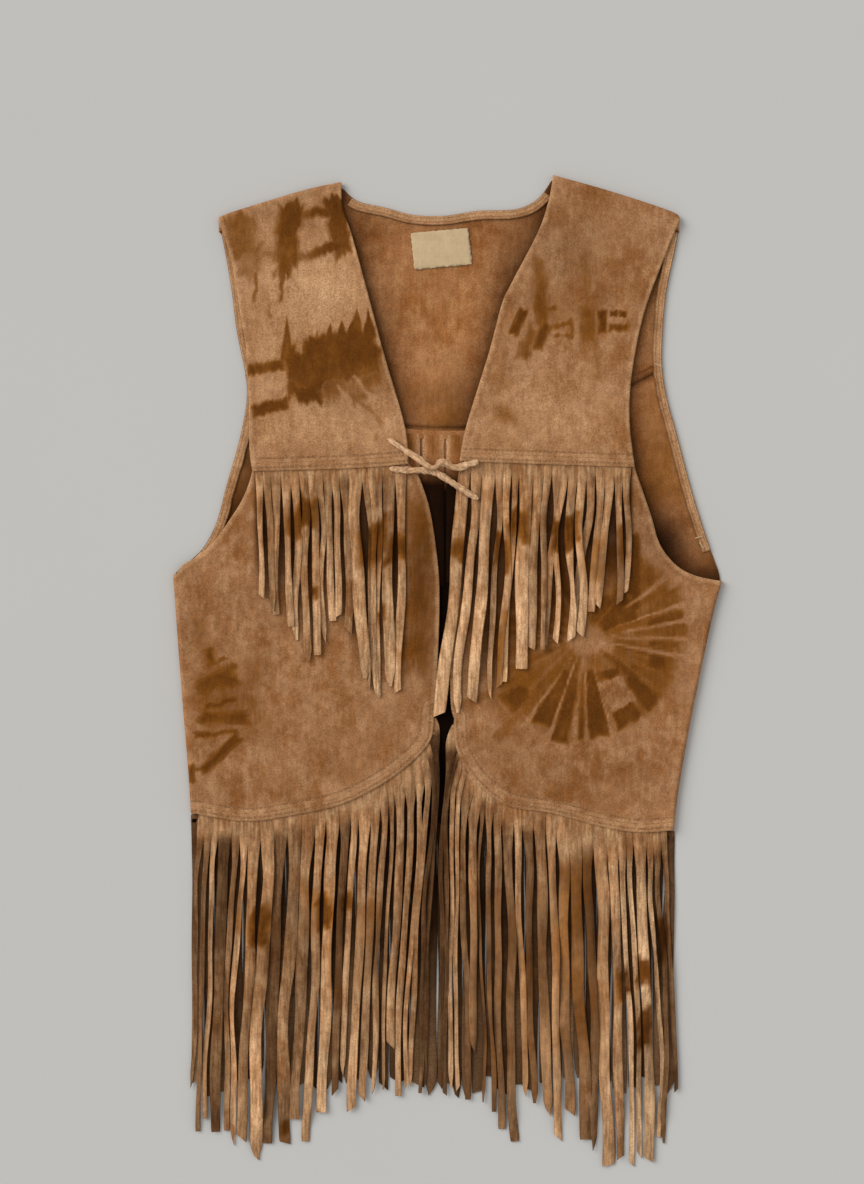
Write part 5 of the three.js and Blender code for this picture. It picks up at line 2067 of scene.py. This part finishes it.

# Dye for this garment

LEFT_YOKE_DYE = (
    Mark(-175, 370, 15, 20, 0.58, 4, 3, 6),
    Mark(-168, 350, 10, 15, 0.62, -4, 3, 6),
    Mark(-165, 326, 2.6, 14, 0.58, 2, 1.8, 3),
    Mark(-152, 308, 2, 7, 0.5, 0, 1.6, 2),
    Mark(-152.5, 357, 9, 4.4, 0.6, 8, 2, 2),
    Mark(-136.5, 375, 12, 27, 0.8, -8, 2.2, 5),
    Mark(-139, 349, 8, 12, 0.74, -6, 2.2, 5),
    Mark(-142.5, 328, 3, 15, 0.64, -4, 1.8, 3),
    Mark(-112, 391, 17, 5.4, 0.74, 6, 2, 2.4),
    Mark(-111, 358.5, 26, 5.4, 0.8, 20, 2, 2.6),
    Mark(-93.5, 380, 9.4, 26, 0.84, 9, 2, 5),
    Mark(-98, 267, 41, 23, 0.88, 13, 2.6, 5),
    Spoke(-90, 1, 42, 9, 0.86, x=-137, y=306),
    Spoke(-92, 1, 26, 15, 0.86, x=-100, y=302),
    Spoke(-88, 1, 26, 15, 0.86, x=-91, y=303),
    Spoke(-93, 1, 30, 15, 0.88, x=-77, y=314),
    Spoke(-86, 1, 30, 13, 0.88, x=-69, y=313),
    Spoke(-90, 1, 30, 12, 0.82, x=-112, y=298),
    Mark(-81, 244, 29, 14, 0.64, 14, 4, 6),
    Mark(-124, 238, 18, 10, 0.82, 4, 3, 6),
    Mark(-88, 226, 30, 8, 0.46, -34, 6, 5),
    Mark(-70, 212, 22, 4, 0.36, -44, 4, 4),
    Mark(-156, 259.5, 17, 5.8, 0.9, 8, 1.8, 1.6),
    Mark(-152, 226, 17, 6, 0.9, 14, 1.8, 1.6),
    Mark(-126, 290, 3, 18, -0.75, 2, 1.8, 3),
    Mark(-151, 243.6, 12.4, 8.6, -0.95, 8, 1.6, 1.4),
    Mark(-46, 228, 9, 16, -0.7, 24, 4, 5),
    Mark(-80, 244, 15, 19, 0.62, 40, 5, 8),
    Mark(-68, 224, 3.4, 20, 0.5, 44, 3, 5),
    Mark(-86, 232, 1.7, 15, -0.45, 40, 2, 4),
    Mark(-70, 240, 1.6, 17, -0.5, 40, 2, 3),
)
RIGHT_YOKE_DYE = (
    Mark(79, 326, 8, 29, 0.66, 2, 3.5, 6),
    Mark(118, 333, 6.5, 27, 0.44, 0, 3.2, 5),
    Mark(102, 307, 34, 19, 0.3, 0, 8, 9),
    Mark(60.4, 297.5, 4.3, 12, 0.82, -26, 2, 2.4),
    Mark(68.8, 280, 6, 16, 0.56, -22, 3, 5),
    Mark(81, 287.6, 5, 12.5, 0.76, -22, 2.6, 3),
    Mark(89, 309.5, 5.5, 2.8, 0.62, 25, 1.6, 1),
    Mark(98.9, 296, 8.5, 2.6, 0.74, 15, 1.5, 1),
    Mark(98.4, 286.3, 9, 2.2, 0.68, 0, 1.5, 1),
    Mark(105.7, 291, 2.2, 7.5, 0.68, 0, 1.6, 1),
    Mark(120, 296, 8.6, 16, 0.64, 0, 3.6, 5),
    Mark(128, 268, 4.2, 20, 0.4, 8, 3, 5),
    Mark(132.3, 299, 3.4, 9.6, 0.9, 0, 1.5, 1.4),
    Mark(141.7, 306, 2.7, 2.5, 0.88, 0, 1.3, 0.6),
    Mark(150.7, 305.6, 3.2, 2.7, 0.88, 0, 1.3, 0.6),
    Mark(146.8, 293.6, 9.2, 3.2, 0.9, -4, 1.5, 1),
    Mark(50.5, 217.8, 15, 10, 0.58, 0, 5, 5),
    Mark(138, 224, 6, 15, 0.3, 0, 4, 5),
    Mark(66, 262, 22, 10, 0.2, -20, 8, 5),
)
LEFT_BODY_DYE = (
    Mark(-184, -22, 34, 34, 0.46, 90, 12, 10),
    Mark(-209, 24, 8, 26, 0.44, 12, 6, 5),
    Mark(-196.5, -9, 10.5, 21, 0.86, 110, 4.4, 4),
    Mark(-194, -28, 3, 15, 0.76, 102, 2.2, 4),
    Mark(-192, -40.5, 6.6, 21, 0.84, 91, 4, 4),
    Mark(-199, -54, 2.6, 17, 0.66, 92, 2, 4),
    Mark(-195.5, -72.5, 4.6, 22, 0.84, 132, 2.8, 3),
    Mark(-203, 10, 4.6, 9, 0.74, 15, 3.4, 3),
    Mark(-196, 9, 2, 10, 0.6, 112, 2, 3),
    Mark(-218, -88, 3.4, 8, 0.62, 0, 3, 3),
    Mark(-215, 29, 8, 11, 0.38, 0, 6, 4),
    Mark(-125, 35, 34, 11, 0.26, -6, 12, 6),
    Mark(-78, 96, 56, 18, 0.3, 8, 12, 8),
    Mark(-24, 70, 15, 78, 0.6, -3, 9, 6),
    Mark(-70, -62, 46, 9, 0.22, 26, 10, 8),
    Mark(-140, -84, 40, 8, 0.18, 4, 10, 8),
    Mark(-88, -14, 12, 30, 0.16, 10, 10, 8),
)
RIGHT_BODY_DYE = (
    Mark(118, 20, 88, 70, 0.36, 10, 14, 9),
    Mark(66, -12, 40, 17, 0.44, 38, 9, 6),
    Burst(13, 90, 0.5),
    Spoke(-116.6, 32, 84, 6.6, 0.88),
    Spoke(-104, 36, 95, 4.6, 0.9),
    Spoke(-92.5, 16, 88, 1.9, 0.8),
    Spoke(-81.5, 28, 87, 6.4, 0.92),
    Spoke(-62.5, 58, 84, 8.5, 0.88),
    Spoke(-44, 50, 83, 6.8, 0.84),
    Spoke(-38, 20, 62, 3.6, 0.66),
    Spoke(-31, 44, 80, 4.4, 0.62),
    Mark(178.6, 7.9, 8.5, 7, 0.86, -15, 1.6, 2),
    Spoke(-5.5, 52, 85, 2.4, 0.7),
    Spoke(4, 38, 88, 4, 0.6),
    Spoke(13.5, 54, 86, 2.8, 0.8),
    Spoke(24, 40, 92, 5, 0.6, soft=2.6),
    Spoke(32, 14, 50, 17, 0.95, soft=2),
    Spoke(43, 44, 84, 6, 0.62, soft=3),
    Spoke(62, 12, 40, 14, 0.88, soft=2.4),
    Spoke(80, 20, 74, 8, 0.5, soft=3),
    Mark(160, 84, 5.5, 32, 0.85, 0, 2.6, 4),
    Spoke(-142, 26, 92, 4.6, 0.66),
    Spoke(-138, 66, 89, 6, 0.86),
    Spoke(-131, 50, 120, 2.6, 0.5, soft=2.4),
    Spoke(-150, 84, 122, 2.6, 0.44, soft=3),
    Spoke(-74, 28, 92, 0.8, -0.8, soft=1),
    Spoke(-89, 18, 98, 0.7, -0.8, soft=1),
    Spoke(-96.5, 18, 98, 0.8, -0.8, soft=1),
    Spoke(-110, 22, 98, 1.1, -0.8, soft=1),
    Spoke(-124.5, 20, 94, 1.3, -0.7, soft=1),
    Spoke(8.8, 30, 92, 1.1, -0.7, soft=1),
    Spoke(18.6, 28, 92, 1.1, -0.7, soft=1),
    Spoke(-1.2, 30, 88, 0.8, -0.6, soft=1),
    Spoke(-12, 26, 84, 1.3, -0.7, soft=1.2),
    Spoke(36, 42, 88, 1.3, -0.7, soft=1),
    Mark(144.8, -18.5, 10.6, 13.2, -1.0, 28, 0.9, 0.7),
    Mark(138.2, -2.6, 10.2, 4.2, 0.88, 12, 1.4, 1),
    Mark(128, 22, 14, 5, -0.6, 4, 3, 2),
)
LEFT_FRINGE_DYE = (
    Mark(-125, 128, 15, 13, 0.86, 0, 3, 6),
    Mark(-64, 111, 12, 18, 0.86, 0, 3, 7),
    Mark(-43, 99, 11, 12, 0.9, 0, 3, 6),
    Mark(-150, 140, 8, 10, 0.35, 0, 4, 5),
    Mark(-115, 63, 4, 6, 0.85, 0, 2, 3),
    Mark(-56, 46, 4, 7, 0.8, 0, 2, 3),
)
RIGHT_FRINGE_DYE = (
    Mark(9, 101, 6, 9, 0.85, 0, 3, 4),
    Mark(46, 102, 6, 14, 1.05, 0, 3, 5),
    Mark(60, 119, 8, 12, 1.05, 0, 3, 6),
    Mark(101, 118, 13, 15, 1.1, 0, 3, 7),
    Mark(44, 22, 7, 40, 0.56, -6, 4, 10),
    Mark(124, 92, 14, 22, 0.5, 0, 5, 8),
    Mark(150, 108, 6, 18, 0.55, 0, 5, 6),
)
LEFT_HEM_DYE = (
    Mark(-180, -196, 9, 24, 0.42, 0, 5, 9),
    Mark(-106, -213, 6, 14, 1.0, 0, 3, 8),
    Mark(-161, -225, 7, 18, 1.0, 0, 3, 9),
    Mark(-86, -199, 6, 8, 0.8, 0, 3, 4),
    Mark(-208, -300, 8, 60, 0.28, 0, 6, 9),
    Mark(-118, -206, 12, 26, 0.42, 0, 5, 9),
    Mark(-96, -236, 8, 44, 0.5, 0, 6, 9),
    Mark(-66, -230, 16, 40, 0.42, 0, 6, 9),
    Mark(-150, -240, 14, 30, 0.34, 0, 7, 9),
    Mark(-113, -388, 5, 8, 0.75, 0, 2, 3),
    Mark(-140, -396, 4, 7, 0.7, 0, 2, 3),
)
RIGHT_HEM_DYE = (
    Mark(169, -266, 9, 15, 1.0, 0, 4, 9),
    Mark(170, -314, 9, 20, 1.0, 0, 4, 9),
    Mark(152, -262, 6, 12, 0.9, 0, 3, 7),
    Mark(183, -229, 4.4, 22, 0.8, 0, 3, 7),
    Mark(166, -292, 9, 14, 0.5, 0, 4, 7),
    Mark(70, -290, 62, 110, 0.34, 0, 9, 9),
    Mark(74, -262, 14, 30, 0.5, 0, 5, 9),
    Mark(96, -220, 12, 26, 0.46, 0, 5, 9),
    Mark(50, -300, 16, 60, 0.44, 0, 6, 9),
    Mark(110, -250, 24, 90, 0.5, 0, 7, 9),
)


def main() -> None:
    """Builds the garment and its studio, in order."""
    logging.basicConfig(level=logging.INFO, format="%(name)s: %(message)s")
    finishes = Wardrobe.made()
    Studio().build()
    Tie(finishes, Side.LEFT, (
        (-50, 172.6, 9.0), (-38, 171.6, 9.0), (-28, 171.2, 9.1), (-19, 171.2, 9.2),
        (-11.5, 169.8, 9.3), (-5, 166.4, 9.5), (2.5, 161.6, 9.7), (12, 155.4, 9.8),
        (26, 146.4, 9.8),
    )).build()
    Tie(finishes, Side.RIGHT, (
        (26, 178.6, 10.1), (17, 176, 9.9), (9, 173.6, 9.9), (3.5, 174.2, 10.4),
        (-1.5, 177.4, 11.4), (-7, 177.2, 13), (-11, 173.2, 14.1), (-16, 174.2, 13.9),
        (-23.5, 179.8, 12.9), (-37, 188.9, 11.6), (-51, 198.4, 10.8),
    )).build()
    YokeFringe(finishes, LEFT, 17, 0.6, LEFT_LENGTHS, LEFT_FRINGE_DYE, 300).build()
    YokeFringe(finishes, RIGHT, 18, 0.8, RIGHT_LENGTHS, RIGHT_FRINGE_DYE, 340, inner=1.4).build()
    HemFringe(finishes, LEFT, (
        (0, -221, -383), (0.1, -199, -396), (0.25, -163, -410), (0.4, -128, -414),
        (0.5, -104, -406), (0.62, -76, -372), (0.74, -50, -360), (1, -17, -357),
    ), LEFT_HEM_DYE, 400).build()
    HemFringe(finishes, RIGHT, (
        (0, 197, -385), (0.1, 174, -420), (0.22, 144, -422), (0.36, 112, -408),
        (0.5, 80, -408), (0.62, 52, -404), (0.74, 23, -364), (1, -9.5, -357),
    ), RIGHT_HEM_DYE, 440, cream=1.3, tip_tone=0.95).build()
    BackFringe(finishes).build()
    Back(finishes).build()
    Front(finishes, LEFT, LEFT_YOKE_DYE, LEFT_BODY_DYE, LEFT_LENGTHS, LEFT_BLOOMS,
          (0.163, 0.262, 0.0304), (0.241, 0.319, 0.0610), seed=500).build()
    Front(finishes, RIGHT, RIGHT_YOKE_DYE, RIGHT_BODY_DYE, RIGHT_LENGTHS, RIGHT_BLOOMS,
          (0.190, 0.268, 0.0325), (0.248, 0.336, 0.0620), seed=600).build()


if __name__ == "__main__":
    main()
